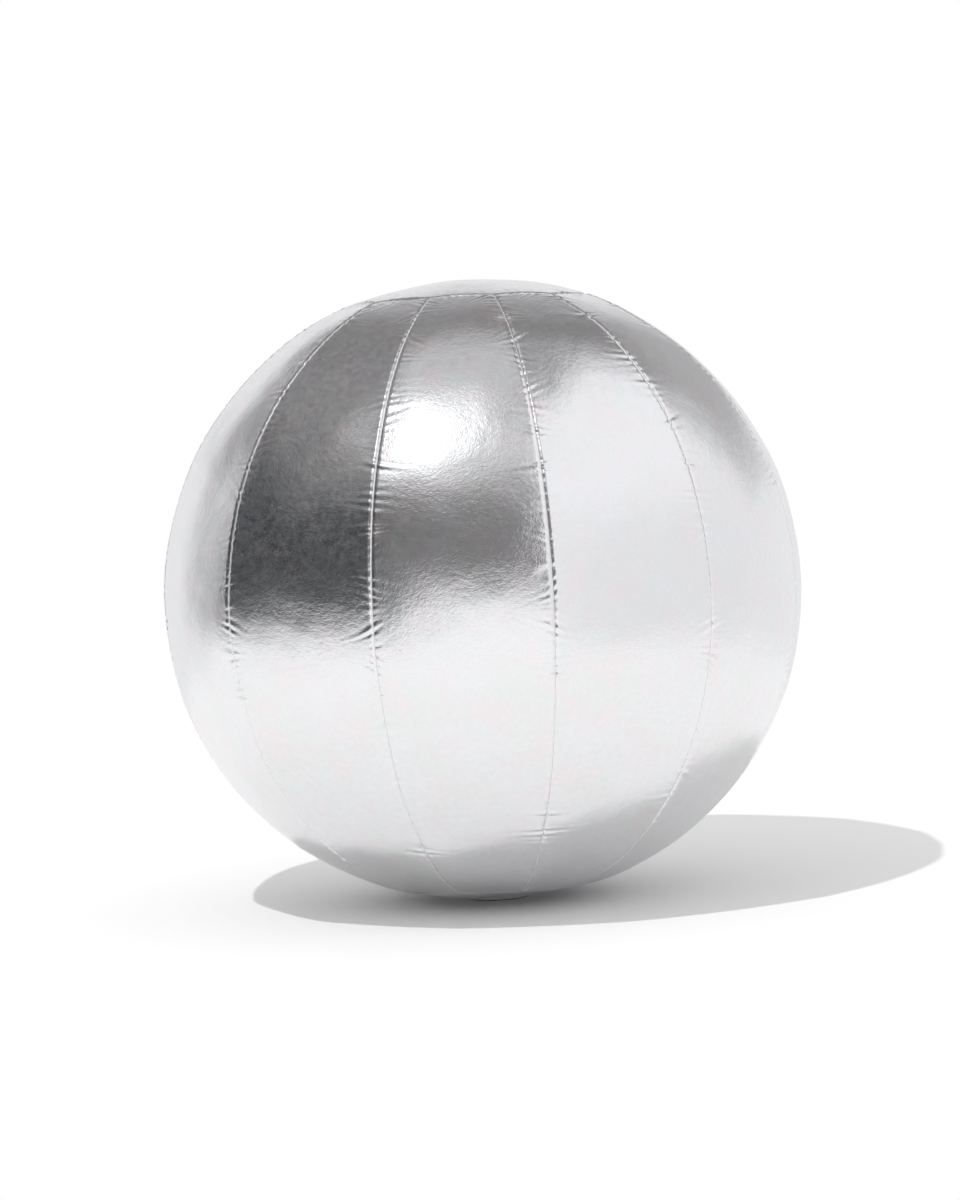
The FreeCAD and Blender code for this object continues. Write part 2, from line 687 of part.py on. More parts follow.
def slider():
    """Two curved plates that hold the teeth between them, a wedge that joins the plates, and two
    lugs with the pin that carries the pull."""
    body = new_body("zip_slider", ZIP_AZIMUTH)
    lower = SLIDER_REST + SIZES["slider_angle"]
    upper_text = f"{SLIDER_REST} deg"
    lower_text = f"({SLIDER_REST} + Sizes.slider_angle) * 1 deg"

    def layer(name, depth, depth_text, thickness, thickness_text, low=lower, low_text=lower_text):
        sketch = new_sketch(body, name)
        texts = (depth_text, thickness_text, upper_text, low_text)
        arc_section(sketch, SEAM, depth, thickness, SLIDER_REST, low, texts)
        return sketch

    rise = SIZES["slider_rise"]
    weld = SIZES["weld"]
    under = SIZES["slider_plate"] - rise
    under_text = "Sizes.slider_plate - Sizes.slider_rise"
    flange = SIZES["slider_flange_depth"]
    block = layer(
        "plate_outline", -rise, "-Sizes.slider_rise",
        flange + rise, "Sizes.slider_flange_depth + Sizes.slider_rise",
    )
    pad(body, block, "plate", "Sizes.slider_width")
    channel = layer("channel_outline", under, under_text, flange, "Sizes.slider_flange_depth")
    pocket(body, channel, "channel", "Sizes.slider_channel")
    wedge = layer(
        "wedge_outline", under - weld, under_text + " - Sizes.weld",
        SIZES["slider_back_depth"] - under + 2 * weld,
        f"Sizes.slider_back_depth - ({under_text}) + 2 * Sizes.weld",
        SLIDER_REST + SIZES["wedge_angle"], f"({SLIDER_REST} + Sizes.wedge_angle) * 1 deg",
    )
    pad(body, wedge, "wedge", "Sizes.wedge_width")
    back = layer(
        "back_outline", SIZES["slider_back_depth"], "Sizes.slider_back_depth",
        SIZES["slider_back_plate"], "Sizes.slider_back_plate",
    )
    pad(body, back, "back_plate", "Sizes.slider_width")

    x, z = pin_centre()
    half = SIZES["lug_length"] / 2
    sides = (z - half, z + half)
    side_texts = (f"abs({PIN_Z}) + Sizes.lug_length / 2", f"abs({PIN_Z}) - Sizes.lug_length / 2")
    base = x - SIZES["pin_rise"] + rise - 2 * weld
    base_text = f"{PIN_X} - Sizes.pin_rise + Sizes.slider_rise - 2 * Sizes.weld"
    lug_top = x + SIZES["eye_radius"]
    lugs = new_sketch(body, "lug_outline")
    box_outline(lugs, (base, lug_top), sides, (base_text, f"{PIN_X} + Sizes.eye_radius"), side_texts)
    pad(body, lugs, "lugs", "Sizes.lug_width")
    gap = new_sketch(body, "lug_gap_outline")
    gap_floor = x - SIZES["eye_radius"] - EYE_ROOM
    gap_texts = (
        f"{PIN_X} - Sizes.eye_radius - {EYE_ROOM}",
        f"{PIN_X} + Sizes.eye_radius + {EYE_ROOM}",
    )
    box_outline(gap, (gap_floor, lug_top + EYE_ROOM), sides, gap_texts, side_texts)
    pocket(body, gap, "lug_gap", "Sizes.lug_gap")
    pin = new_sketch(body, "pin_outline")
    circle(pin, SIZES["pin_radius"], "Sizes.pin_radius", x, PIN_X, z, f"abs({PIN_Z})")
    pad(body, pin, "pin", "Sizes.lug_width - 2 * Sizes.weld")
    return body


def pull():
    """A flat tab with an eye round the slider's pin. It hangs straight down from the pin."""
    x, z = pin_centre()
    body = new_body("zip_pull", ZIP_AZIMUTH, None)
    turn = body.Placement.Rotation
    up = Vector(0, 0, SIZES["waist_height"] + z)
    body.Placement = Placement(turn.multVec(Vector(x, 0, 0)) + up, turn)
    body.setExpression(".Placement.Base.z", f"Sizes.waist_height + {PIN_Z}")
    half = SIZES["pull_thickness"] / 2
    half_texts = ("Sizes.pull_thickness / 2", "Sizes.pull_thickness / 2")
    neck = new_sketch(body, "neck_outline")
    neck_ends = (-SIZES["pull_neck_length"], -SIZES["eye_radius"] + EYE_ROOM)
    neck_texts = ("Sizes.pull_neck_length", f"Sizes.eye_radius - {EYE_ROOM}")
    box_outline(neck, (-half, half), neck_ends, half_texts, neck_texts)
    pad(body, neck, "neck", "Sizes.pull_neck_width")
    eye = new_sketch(body, "eye_outline")
    circle(eye, SIZES["eye_radius"], "Sizes.eye_radius")
    bore = SIZES["pin_radius"] + SIZES["pin_clearance"]
    circle(eye, bore, "Sizes.pin_radius + Sizes.pin_clearance")
    pad(body, eye, "eye", "Sizes.pull_neck_width")
    tab = new_sketch(body, "tab_outline")
    tab_ends = (-SIZES["pull_length"], -SIZES["pull_neck_length"] + EYE_ROOM)
    tab_texts = ("Sizes.pull_length", f"Sizes.pull_neck_length - {EYE_ROOM}")
    box_outline(tab, (-half, half), tab_ends, half_texts, tab_texts)
    last = pad(body, tab, "tab", "Sizes.pull_width")
    doc.recompute()
    corners = []
    for i, edge in enumerate(last.Shape.Edges, start=1):
        middle = edge.CenterOfMass
        outer = abs(abs(middle.y) - SIZES["pull_width"] / 2) < EDGE_MATCH
        short = abs(edge.Length - SIZES["pull_thickness"]) < EDGE_MATCH
        if outer and short and abs(middle.x) < EDGE_MATCH:
            corners.append(f"Edge{i}")
    rounded = body.newObject("PartDesign::Fillet", "tab_corners")
    rounded.Base = (last, corners)
    rounded.setExpression("Radius", "Sizes.pull_corner")
    hole = new_sketch(body, "tab_hole_outline", "YZ_Plane")
    drop = SIZES["pull_length"] - 2 * SIZES["pull_corner"]
    drop_text = "Sizes.pull_length - 2 * Sizes.pull_corner"
    circle(hole, SIZES["pull_hole_radius"], "Sizes.pull_hole_radius", y=-drop, y_text=drop_text)
    pocket(body, hole, "tab_hole", "4 * Sizes.pull_thickness")
    return body


def bladder_blank():
    body = new_body("bladder_blank")
    outside = new_sketch(body, "bladder_outside")
    bladder_outline(outside, SIZES["bladder_depth"], "Sizes.bladder_depth", 0.0, "0")
    revolve(body, outside, "bladder_ball", "V_Axis")
    inside = new_sketch(body, "bladder_inside")
    bladder_outline(
        inside, SIZES["bladder_depth"] + SIZES["bladder_wall"],
        "Sizes.bladder_depth + Sizes.bladder_wall", SIZES["bladder_wall"], "Sizes.bladder_wall",
    )
    revolve(body, inside, "bladder_air", "V_Axis", kind="PartDesign::Groove")
    return body


def valve_place():
    """Turns +X square to the bladder at the valve, from the centre of its lower arc."""
    turn = Rotation(Vector(0, 0, 1), VALVE_AZIMUTH + FRONT_TO_X)
    lean = Rotation(Vector(0, 1, 0), SIZES["valve_angle"])
    centre = turn.multVec(Vector(LOWER.centre, 0, 0)) + Vector(0, 0, SIZES["waist_height"])
    return Placement(centre, turn.multiply(lean))


def along_axis(label, corners):
    """A round piece about its own X axis, from (x, radius) corners, set at the valve."""
    body = doc.addObject("PartDesign::Body", label)
    sketch = new_sketch(body, label + "_section")
    polygon(sketch, corners)
    revolve(body, sketch, label + "_turned", "H_Axis")
    body.Placement = valve_place()
    body.setExpression(".Placement.Base.z", "Sizes.waist_height")
    return body


def valve_hole():
    """The hole that the valve's seat is bonded into."""
    hole = doc.addObject("Part::Cylinder", "valve_hole")
    hole.setExpression("Radius", "Sizes.valve_radius + Sizes.valve_fit")
    hole.setExpression("Height", "2 * Sizes.valve_length")
    place = valve_place()
    out = place.Rotation.multVec(Vector(1, 0, 0))
    start = LOWER.radius - SIZES["bladder_depth"] - SIZES["valve_length"]
    hole.Placement = Placement(place.Base + out * start, Rotation(Vector(0, 0, 1), out))
    return hole


def valve():
    """The seat moulded into the bladder's wall, and the plug pushed into it."""
    face = LOWER.radius - SIZES["bladder_depth"]
    face_text = f"({LOWER.radius_text} - Sizes.bladder_depth)"

    def corner(depth, depth_text, radius_name):
        x_text = f"{face_text} - ({depth_text})"
        return (face - depth, SIZES[radius_name], x_text, f"Sizes.{radius_name}")

    flange = SIZES["bladder_wall"] + SIZES["valve_sink"]
    flange_text = "Sizes.bladder_wall + Sizes.valve_sink"
    flange_end = flange + SIZES["valve_flange"]
    flange_end_text = flange_text + " + Sizes.valve_flange"
    seat = along_axis("valve_seat", [
        corner(0, "0", "plug_recess_radius"),
        corner(0, "0", "valve_radius"),
        corner(flange, flange_text, "valve_radius"),
        corner(flange, flange_text, "valve_flange_radius"),
        corner(flange_end, flange_end_text, "valve_flange_radius"),
        corner(flange_end, flange_end_text, "valve_radius"),
        corner(SIZES["valve_length"], "Sizes.valve_length", "valve_radius"),
        corner(SIZES["valve_length"], "Sizes.valve_length", "plug_bore"),
        corner(SIZES["plug_recess"], "Sizes.plug_recess", "plug_bore"),
        corner(SIZES["plug_recess"], "Sizes.plug_recess", "plug_recess_radius"),
    ])
    head_top = SIZES["plug_recess"] - SIZES["plug_head"]
    head_top_text = "Sizes.plug_recess - Sizes.plug_head"
    tip = SIZES["plug_recess"] + SIZES["plug_length"]
    tip_text = "Sizes.plug_recess + Sizes.plug_length"
    plug = along_axis("valve_plug", [
        (face - head_top, 0.0, f"{face_text} - ({head_top_text})", None),
        corner(head_top, head_top_text, "plug_head_radius"),
        corner(SIZES["plug_recess"], "Sizes.plug_recess", "plug_head_radius"),
        corner(SIZES["plug_recess"], "Sizes.plug_recess", "plug_shank"),
        corner(tip, tip_text, "plug_shank"),
        (face - tip, 0.0, f"{face_text} - ({tip_text})", None),
    ])
    return seat, plug


def screw_holes(body, name, radius_name):
    """Four holes on the screws' circle, made as one hole and a polar pattern."""
    sketch = new_sketch(body, name + "_outline", "XY_Plane")
    radius_text = f"Sizes.{radius_name}"
    circle(sketch, SIZES[radius_name], radius_text, SIZES["screw_circle"], "Sizes.screw_circle")
    hole = pocket(body, sketch, name, "4 * Sizes.waist_height")
    pattern = body.newObject("PartDesign::PolarPattern", name + "s")
    pattern.Originals = [hole]
    pattern.Axis = (sketch, ["N_Axis"])
    pattern.Angle = 360.0
    pattern.Occurrences = SCREW_COUNT
    body.Tip = pattern
    return body


def foot_pieces():
    """The moulded foot, its anti-slip sole and the plate inside the cap that it is screwed to."""

    def at(radius_name, height_name):
        """A corner at a radius and a height that both have names on the sheet."""
        return (SIZES[radius_name], SIZES[height_name], f"Sizes.{radius_name}", f"Sizes.{height_name}")

    foot = turned("foot", [
        (0.0, SIZES["foot_height"], None, "Sizes.foot_height"),
        (0.0, SIZES["sole_recess"], None, "Sizes.sole_recess"),
        at("sole_recess_radius", "sole_recess"),
        at("sole_recess_radius", "foot_rim"),
        at("foot_sole_radius", "foot_rim"),
        at("foot_top_radius", "foot_height"),
    ])
    keep(screw_holes(foot, "pilot_hole", "pilot_hole"))
    keep(turned("foot_sole", [
        (0.0, 0.0, None, None),
        (SIZES["sole_radius"], 0.0, "Sizes.sole_radius", None),
        at("sole_radius", "sole_thickness"),
        (0.0, SIZES["sole_thickness"], None, "Sizes.sole_thickness"),
    ]))
    plate_low = SIZES["foot_height"] + SIZES["cover_thickness"]
    plate_low_text = "Sizes.foot_height + Sizes.cover_thickness"
    plate_top = plate_low + SIZES["plate_thickness"]
    plate_top_text = plate_low_text + " + Sizes.plate_thickness"
    plate = turned("foot_backing_plate", [
        (0.0, plate_low, None, plate_low_text),
        (SIZES["plate_radius"], plate_low, "Sizes.plate_radius", plate_low_text),
        (SIZES["plate_radius"], plate_top, "Sizes.plate_radius", plate_top_text),
        (0.0, plate_top, None, plate_top_text),
    ])
    keep(screw_holes(plate, "plate_hole", "screw_hole"))

    screws = []
    head_top = plate_top + SIZES["screw_head"]
    head_text = plate_top_text + " + Sizes.screw_head"
    tip = plate_top - SIZES["screw_length"]
    tip_text = plate_top_text + " - Sizes.screw_length"
    for i in range(SCREW_COUNT):
        screw = turned(f"foot_screw_{i + 1}", [
            (0.0, tip, None, tip_text),
            (SIZES["screw_radius"], tip, "Sizes.screw_radius", tip_text),
            (SIZES["screw_radius"], plate_top, "Sizes.screw_radius", plate_top_text),
            (SIZES["screw_head_radius"], plate_top, "Sizes.screw_head_radius", plate_top_text),
            (SIZES["screw_crown_radius"], head_top, "Sizes.screw_crown_radius", head_text),
            (0.0, head_top, None, head_text),
        ])
        turn = Rotation(Vector(0, 0, 1), 360.0 / SCREW_COUNT * i)
        screw.Placement = Placement(turn.multVec(Vector(SIZES["screw_circle"], 0, 0)), turn)
        screws.append(screw)
    group = doc.addObject("Part::Compound", "foot_screws")
    group.Links = screws
    keep(group)


keep(slider())
keep(pull())

keep(screw_holes(bottom_blank, "cap_hole", "screw_hole"), "bottom_cap")
foot_pieces()

bladder = doc.addObject("Part::Cut", "bladder")
bladder.Base = bladder_blank()
bladder.Tool = valve_hole()
keep(bladder)
for valve_piece in valve():
    keep(valve_piece)

# Nothing is written unless every object and every piece is sound.
doc.recompute()
for item in doc.Objects:
    faults = [state for state in item.State if state in ("Invalid", "Error")]
    if faults:
        raise RuntimeError(f"{item.Label} failed: {faults}")
for item in nodes:
    if item.Shape.isNull() or not item.Shape.isValid():
        raise RuntimeError(f"{item.Label} has no valid shape")

os.makedirs("parts", exist_ok=True)
for item in nodes:
    item.Shape.exportStep(f"parts/{item.Label}.step")

to_zip = Rotation(Vector(0, 0, 1), ZIP_AZIMUTH + FRONT_TO_X)
zip_centre = to_zip.multVec(Vector(SEAM.centre, 0, SIZES["waist_height"]))
out_x, down_z = pin_centre()
pull_pin = to_zip.multVec(Vector(out_x, 0, SIZES["waist_height"] + down_z))
height = SIZES["waist_height"] + SIZES["cap_rise"] + SIZES["top_dome"]
print(len(nodes), "pieces, overall height", height)
print("slider turns about", zip_centre)
print("pull turns about", pull_pin)
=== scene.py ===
import math

import bmesh
import bpy
import numpy as np
from mathutils import Matrix, Vector


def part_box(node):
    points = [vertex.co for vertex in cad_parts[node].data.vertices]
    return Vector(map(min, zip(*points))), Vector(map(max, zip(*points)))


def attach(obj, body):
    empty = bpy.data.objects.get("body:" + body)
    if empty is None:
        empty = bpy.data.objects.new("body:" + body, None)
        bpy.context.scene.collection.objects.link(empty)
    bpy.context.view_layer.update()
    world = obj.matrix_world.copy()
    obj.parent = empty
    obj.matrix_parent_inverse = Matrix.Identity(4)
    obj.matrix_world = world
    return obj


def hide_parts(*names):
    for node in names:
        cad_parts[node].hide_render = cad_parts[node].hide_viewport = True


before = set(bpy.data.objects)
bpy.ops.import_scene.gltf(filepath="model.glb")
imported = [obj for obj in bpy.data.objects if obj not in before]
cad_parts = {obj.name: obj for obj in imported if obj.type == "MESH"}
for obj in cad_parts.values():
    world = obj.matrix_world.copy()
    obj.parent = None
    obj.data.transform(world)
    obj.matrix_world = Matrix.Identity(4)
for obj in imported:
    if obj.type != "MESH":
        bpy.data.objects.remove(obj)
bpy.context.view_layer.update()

# An exercise ball in a sewn silver cover: twelve petals gathered along their seams, a domed cap at
# each end, a zip in one rear seam, and a moulded foot. Metres; azimuths run from the front (-Y)
# towards +X, and angles along a petal are over the waist, the ball's widest height.

MM = 0.001
SCENE = bpy.context.scene

# ---------------------------------------------------------------------------------------------
# Sizes
# ---------------------------------------------------------------------------------------------
GORES = 12
HALF = math.pi / GORES  # half of the angle that a petal takes up about the ball's axis
WAIST = -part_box("gore_01")[0].y  # axis to the middle of a petal at the waist
CAP_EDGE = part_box("top_cap")[1].y  # axis to the middle of a cap's side
CAP_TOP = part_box("top_cap")[1].z
FLOOR_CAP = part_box("bottom_cap")[0].z
WAIST_Z = 0.265
RISE = 0.252  # waist to the top cap's edge
DROP = 0.248  # waist to the bottom cap's edge
FLAT_OFFSET = 0.120  # how far behind the ball's axis a petal's cross-section is centred
BOTTOM_FLAT = 0.046  # flat middle of the bottom cap, over the foot
SKIN = 1.5 * MM
SEAM_GAP = 0.05 * MM  # from a seam to the edge of the piece on either side


def arc_through(waist, edge, height):
    """Radius and centre distance of an upright arc from the waist to an edge at a height."""
    inset = waist - edge
    radius = (inset**2 + height**2) / (2 * inset)
    return radius, waist - radius


def seam_distance(rho):
    """Axis to a seam where the middle of a petal stands at rho."""
    across = FLAT_OFFSET * math.sin(HALF)
    return np.sqrt((rho + FLAT_OFFSET) ** 2 - across**2) - FLAT_OFFSET * math.cos(HALF)


UP_RADIUS, UP_CENTRE = arc_through(WAIST, CAP_EDGE, RISE)
LOW_RADIUS, LOW_CENTRE = arc_through(WAIST, CAP_EDGE, DROP)
SEAM_RADIUS, SEAM_CENTRE = arc_through(seam_distance(WAIST), seam_distance(CAP_EDGE), DROP)


def meridian(theta):
    """Distance from the axis and height over the waist, at an angle over the waist."""
    radius = np.where(theta >= 0, UP_RADIUS, LOW_RADIUS)
    centre = np.where(theta >= 0, UP_CENTRE, LOW_CENTRE)
    return centre + radius * np.cos(theta), radius * np.sin(theta)


def petal_half_angle(rho):
    """Half the angle that a petal spans about its own centre, where its middle stands at rho."""
    return np.arcsin(seam_distance(rho) * math.sin(HALF) / (rho + FLAT_OFFSET))


def turned(points, azimuth):
    """Turns points drawn with +X outward so that +X points along an azimuth."""
    turn = azimuth - math.pi / 2
    cosine, sine = math.cos(turn), math.sin(turn)
    return points @ np.array([[cosine, sine, 0], [-sine, cosine, 0], [0, 0, 1]])


# ---------------------------------------------------------------------------------------------
# Unevenness of the sewn cover
# ---------------------------------------------------------------------------------------------
def field(points, wavelength, count, seed):
    """A smooth random field of about unit size: plane waves near one wavelength, summed."""
    rng = np.random.default_rng(seed)
    total = np.zeros(points.shape[:-1])
    for _ in range(count):
        direction = rng.normal(size=3)
        direction /= np.linalg.norm(direction)
        wave = 2 * math.pi / (wavelength * rng.uniform(0.7, 1.5))
        total += np.sin(points @ (direction * wave) + rng.uniform(0, 2 * math.pi))
    return total / math.sqrt(count / 2)


def ripple(along, pitch, seed):
    """An irregular wave along one seam, of about unit size."""
    rng = np.random.default_rng(seed)
    total = np.zeros(np.shape(along))
    for share in (0.8, 1.0, 1.23, 1.6, 2.3):
        phase = rng.uniform(0, 2 * math.pi)
        total += np.sin(2 * math.pi * along / (pitch * share) + phase) / share
    return total / 2.2


GROOVE_DEPTH = 1.3 * MM  # how deep a seam pulls the cover in
GROOVE_REACH = 3.5 * MM
HIGHLIGHT_SPREAD = 3.0  # how steeply the painted highlight along a seam rises with the groove's share of its depth
HIGHLIGHT_START = 1.8  # taken off that, so that only the groove's deepest part gets the painted highlight
PUCKER = 0.54 * MM
PUCKER_PITCH = 8.0 * MM
PUCKER_REACH = 6.5 * MM
PUCKER_STARTS = 0.8 * MM  # a pucker comes to its full height over about this distance
ZIP_HOLDS = 0.8  # the share of a pucker's height that the zip's stiff tape keeps down
SEAM_SEED = 100
LOW_END_SEED = 300
TOP_END_SEED = 400
FOLD_RADIUS = 1.45 * MM
STEPS_FROM_EDGE = np.array([0, 0.45, 0.95, 1.5, 2.1, 2.8, 3.6, 4.6, 5.8, 7.2, 9.0]) * MM


def groove(distance):
    """How far the cover dips towards a seam that is this far away."""
    near = np.clip(1 - distance / GROOVE_REACH, 0, 1)
    return GROOVE_DEPTH * near**2.3


def fold(distance):
    """How far the cover rounds down towards an edge that is turned under."""
    near = np.clip(1 - distance / FOLD_RADIUS, 0, 1)
    return FOLD_RADIUS * (1 - np.sqrt(1 - near**2))


def gather(along, distance, seed, side=1):
    """Puckers that the stitches of one seam pull into the cover beside it. Their slant, size and
    reach change along the seam at unlike lengths, so that none repeats. The side, 1 or -1, keeps
    a slanting pucker straight where it crosses the seam."""
    slanted = along + distance * side * 0.5 * ripple(along, 9 * PUCKER_PITCH, seed + 50)
    size = 0.66 + 0.34 * ripple(along, 4.1 * PUCKER_PITCH, seed + 70)
    reach = PUCKER_REACH * (1 + 0.5 * ripple(along, 2.7 * PUCKER_PITCH, seed + 90))
    hold = 0.35 + 0.65 * (1 - np.exp(-distance / PUCKER_STARTS))
    return PUCKER * size * hold * ripple(slanted, PUCKER_PITCH, seed) * np.exp(-distance / reach)


def unevenness(points):
    """Waves of a cover that is pulled over an inflated ball. Each has a height, a length, a
    number of plane waves and a seed."""
    broad = 0.32 * MM * field(points, 75 * MM, 18, 1)
    middling = 0.05 * MM * field(points, 26 * MM, 24, 2)
    crinkle = 0.007 * MM * field(points, 9 * MM, 30, 3)
    return broad + middling + crinkle


def graded(length, between):
    """Positions along a length: fixed close steps at both ends, and even ones between."""
    even = np.linspace(STEPS_FROM_EDGE[-1], length - STEPS_FROM_EDGE[-1], between)
    return np.concatenate([STEPS_FROM_EDGE[:-1], even, (length - STEPS_FROM_EDGE[:-1])[::-1]])


# ---------------------------------------------------------------------------------------------
# Meshes
# ---------------------------------------------------------------------------------------------
def new_piece(name, points, faces, smooth=True):
    mesh = bpy.data.meshes.new(name)
    mesh.from_pydata([tuple(p) for p in points], [], [tuple(int(v) for v in f) for f in faces])
    mesh.update()
    mesh.polygons.foreach_set("use_smooth", [smooth] * len(mesh.polygons))
    piece = bpy.data.objects.new(name, mesh)
    SCENE.collection.objects.link(piece)
    return piece


def mark_highlight_and_cloth(piece, dip):
    """Keeps how near each point is to a seam, for the pale line painted along it as a highlight.
    Points that the grid doesn't hold, on the inside, get the same pale colour, because the cloth has
    no foil there."""
    seam_highlight_and_cloth = np.ones(len(piece.data.vertices))
    seam_highlight_and_cloth[: dip.size] = np.clip(dip.reshape(-1) / GROOVE_DEPTH * HIGHLIGHT_SPREAD - HIGHLIGHT_START, 0, 1)
    piece.data.attributes.new("seam_highlight_and_cloth", "FLOAT", "POINT").data.foreach_set("value", seam_highlight_and_cloth)


def place(piece, body, slot, material, *nodes):
    """Lets a piece ride, hides the parts that it replaces, and gives it its finish."""
    piece.data.materials.append(material)
    if nodes:
        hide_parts(*nodes)
    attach(piece, body)


def shell(name, outer, inner, step=1):
    """A closed sheet between an outer grid and an inner one that is coarser by a step. Rows run
    upwards and columns to the right, seen from outside."""
    rows, columns = outer.shape[:2]
    index = np.arange(rows * columns).reshape(rows, columns)
    rough = inner[::step, ::step]
    small = rows * columns + np.arange(rough.shape[0] * rough.shape[1]).reshape(rough.shape[:2])
    faces = []
    for i in range(rows - 1):
        for j in range(columns - 1):
            faces.append((index[i, j], index[i, j + 1], index[i + 1, j + 1], index[i + 1, j]))
    for i in range(rough.shape[0] - 1):
        for j in range(rough.shape[1] - 1):
            faces.append((small[i, j], small[i + 1, j], small[i + 1, j + 1], small[i, j + 1]))
    sides = (
        (index[0], small[0], False),
        (index[-1], small[-1], True),
        (index[:, 0], small[:, 0], True),
        (index[:, -1], small[:, -1], False),
    )
    for fine, coarse, forwards in sides:
        for j in range(len(coarse) - 1):
            edge = list(fine[j * step : (j + 1) * step + 1])
            face = edge + [coarse[j + 1], coarse[j]]
            faces.append(tuple(face if forwards else face[::-1]))
    points = np.concatenate([outer.reshape(-1, 3), rough.reshape(-1, 3)])
    return new_piece(name, points, faces)


def lathe(name, profile, segments):
    """A round piece about the ball's axis. Its (radius, height) corners start and end on it."""
    angles = np.arange(segments) * 2 * math.pi / segments
    points = [(0, 0, profile[0][1])]
    for radius, height in profile[1:-1]:
        points += [(radius * math.cos(a), radius * math.sin(a), height) for a in angles]
    points.append((0, 0, profile[-1][1]))
    rings = len(profile) - 2
    last = len(points) - 1
    faces = []
    for j in range(segments):
        k = (j + 1) % segments
        faces.append((0, 1 + j, 1 + k))
        for ring in range(rings - 1):
            low = 1 + ring * segments
            high = low + segments
            faces.append((low + j, high + j, high + k, low + k))
        end = 1 + (rings - 1) * segments
        faces.append((last, end + k, end + j))
    return new_piece(name, points, faces)


def eased(corners, radius, steps=4):
    """The same outline with each inner corner rounded."""
    made = [corners[0]]
    for before, corner, after in zip(corners, corners[1:], corners[2:]):
        middle = np.array(corner)
        way_in = np.array(before) - middle
        way_out = np.array(after) - middle
        cut = min(radius, np.linalg.norm(way_in) * 0.45, np.linalg.norm(way_out) * 0.45)
        start = middle + way_in / np.linalg.norm(way_in) * cut
        end = middle + way_out / np.linalg.norm(way_out) * cut
        for t in np.linspace(0, 1, steps):
            point = (1 - t) ** 2 * start + 2 * t * (1 - t) * middle + t**2 * end
            made.append((float(point[0]), float(point[1])))
    made.append(corners[-1])
    return made


SHARP_EDGE = 0.6  # edges that turn more than this, in radians, are rounded
FLAT_TURN = math.radians(2)
CREASE = math.radians(50)


def eased_copy(name, node, width):
    """A node's shape with its flat sides made whole again and its edges rounded."""
    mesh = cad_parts[node].data.copy()
    form = bmesh.new()
    form.from_mesh(mesh)
    bmesh.ops.remove_doubles(form, verts=form.verts, dist=0.005 * MM)
    bmesh.ops.dissolve_limit(form, angle_limit=FLAT_TURN, verts=form.verts, edges=form.edges)
    inner = [edge for edge in form.edges if len(edge.link_faces) == 2]
    sharp = [edge for edge in inner if edge.calc_face_angle() > SHARP_EDGE]
    bmesh.ops.bevel(
        form, geom=sharp, offset=width, segments=3, profile=0.5, affect="EDGES",
        clamp_overlap=True,
    )
    clean = bpy.data.meshes.new(name)
    form.to_mesh(clean)
    form.free()
    clean.polygons.foreach_set("use_smooth", [True] * len(clean.polygons))
    clean.set_sharp_from_angle(angle=CREASE)
    piece = bpy.data.objects.new(name, clean)
    SCENE.collection.objects.link(piece)
    return piece


# ---------------------------------------------------------------------------------------------
# Cover
# ---------------------------------------------------------------------------------------------
ZIP_SEAM = 7  # the seam on the right of the seventh petal
ZIP_AZIMUTH = (2 * ZIP_SEAM - 1) * HALF
ZIP_HALF = 4.8 * MM  # seam to the turned edge on each side
ZIP_TOP = math.radians(0.1)
ZIP_BOTTOM = math.radians(-66.3)
ZIP_CLOSING = 7 * MM  # length over which the opening closes at each end
PETAL_ROWS = 521
PETAL_MIDDLE_COLUMNS = 45
INNER_STEP = 8


def zip_share(theta, seam):
    """1 beside the zip, 0 beside a sewn seam, and between them where the opening closes."""
    if seam % GORES != ZIP_SEAM:
        return np.zeros(np.shape(theta))
    past = np.maximum(theta - ZIP_TOP, ZIP_BOTTOM - theta) * LOW_RADIUS
    t = np.clip(past / ZIP_CLOSING, 0, 1)
    return 1 - t * t * (3 - 2 * t)


def petal_base(theta, across):
    """Points and normals of a petal facing +X, before seams and waves. The distance across is
    from the seam on its left, along the petal."""
    rho, height = meridian(theta)
    psi = across / (rho + FLAT_OFFSET) - petal_half_angle(rho)
    outward = (rho + FLAT_OFFSET) * np.cos(psi) - FLAT_OFFSET
    points = np.stack([outward, (rho + FLAT_OFFSET) * np.sin(psi), height], -1)
    flat = np.cos(theta)
    normals = np.stack([flat * np.cos(psi), flat * np.sin(psi), np.sin(theta) + 0 * psi], -1)
    return points, normals


def petal_width(theta):
    rho = meridian(theta)[0]
    return 2 * petal_half_angle(rho) * (rho + FLAT_OFFSET)


def petal_surface(number, theta, across, ends=None):
    """The outside of a petal, the even surface that it waves about with its normals, and how deep
    its seams pull it in."""
    points, normals = petal_base(theta, across)
    azimuth = (number - 1) * 2 * HALF
    points = turned(points, azimuth)
    normals = turned(normals, azimuth)
    along = theta * LOW_RADIUS
    lift = unevenness(points)
    dip = np.zeros(np.shape(lift))
    seams = ((across, number - 1, 1), (petal_width(theta) - across, number, -1))
    for distance, seam, side in seams:
        share = zip_share(theta, seam)
        from_edge = np.maximum(distance - share * ZIP_HALF, 0)
        dip = np.maximum(dip, groove(from_edge) * (1 - share))
        lift = lift - fold(from_edge) * share
        puckers = gather(along, from_edge, SEAM_SEED + seam % GORES, side)
        lift = lift + puckers * (1 - ZIP_HOLDS * share)
    if ends is not None:
        bottom, top = ends
        from_bottom = (theta + bottom) * LOW_RADIUS
        from_top = (top - theta) * UP_RADIUS
        around = number * petal_width(theta) + across
        for distance, seed in ((from_bottom, LOW_END_SEED), (from_top, TOP_END_SEED)):
            dip = np.maximum(dip, groove(distance))
            lift = lift + gather(around, distance, seed)
    return points + normals * (lift - dip)[..., None], points, normals, dip


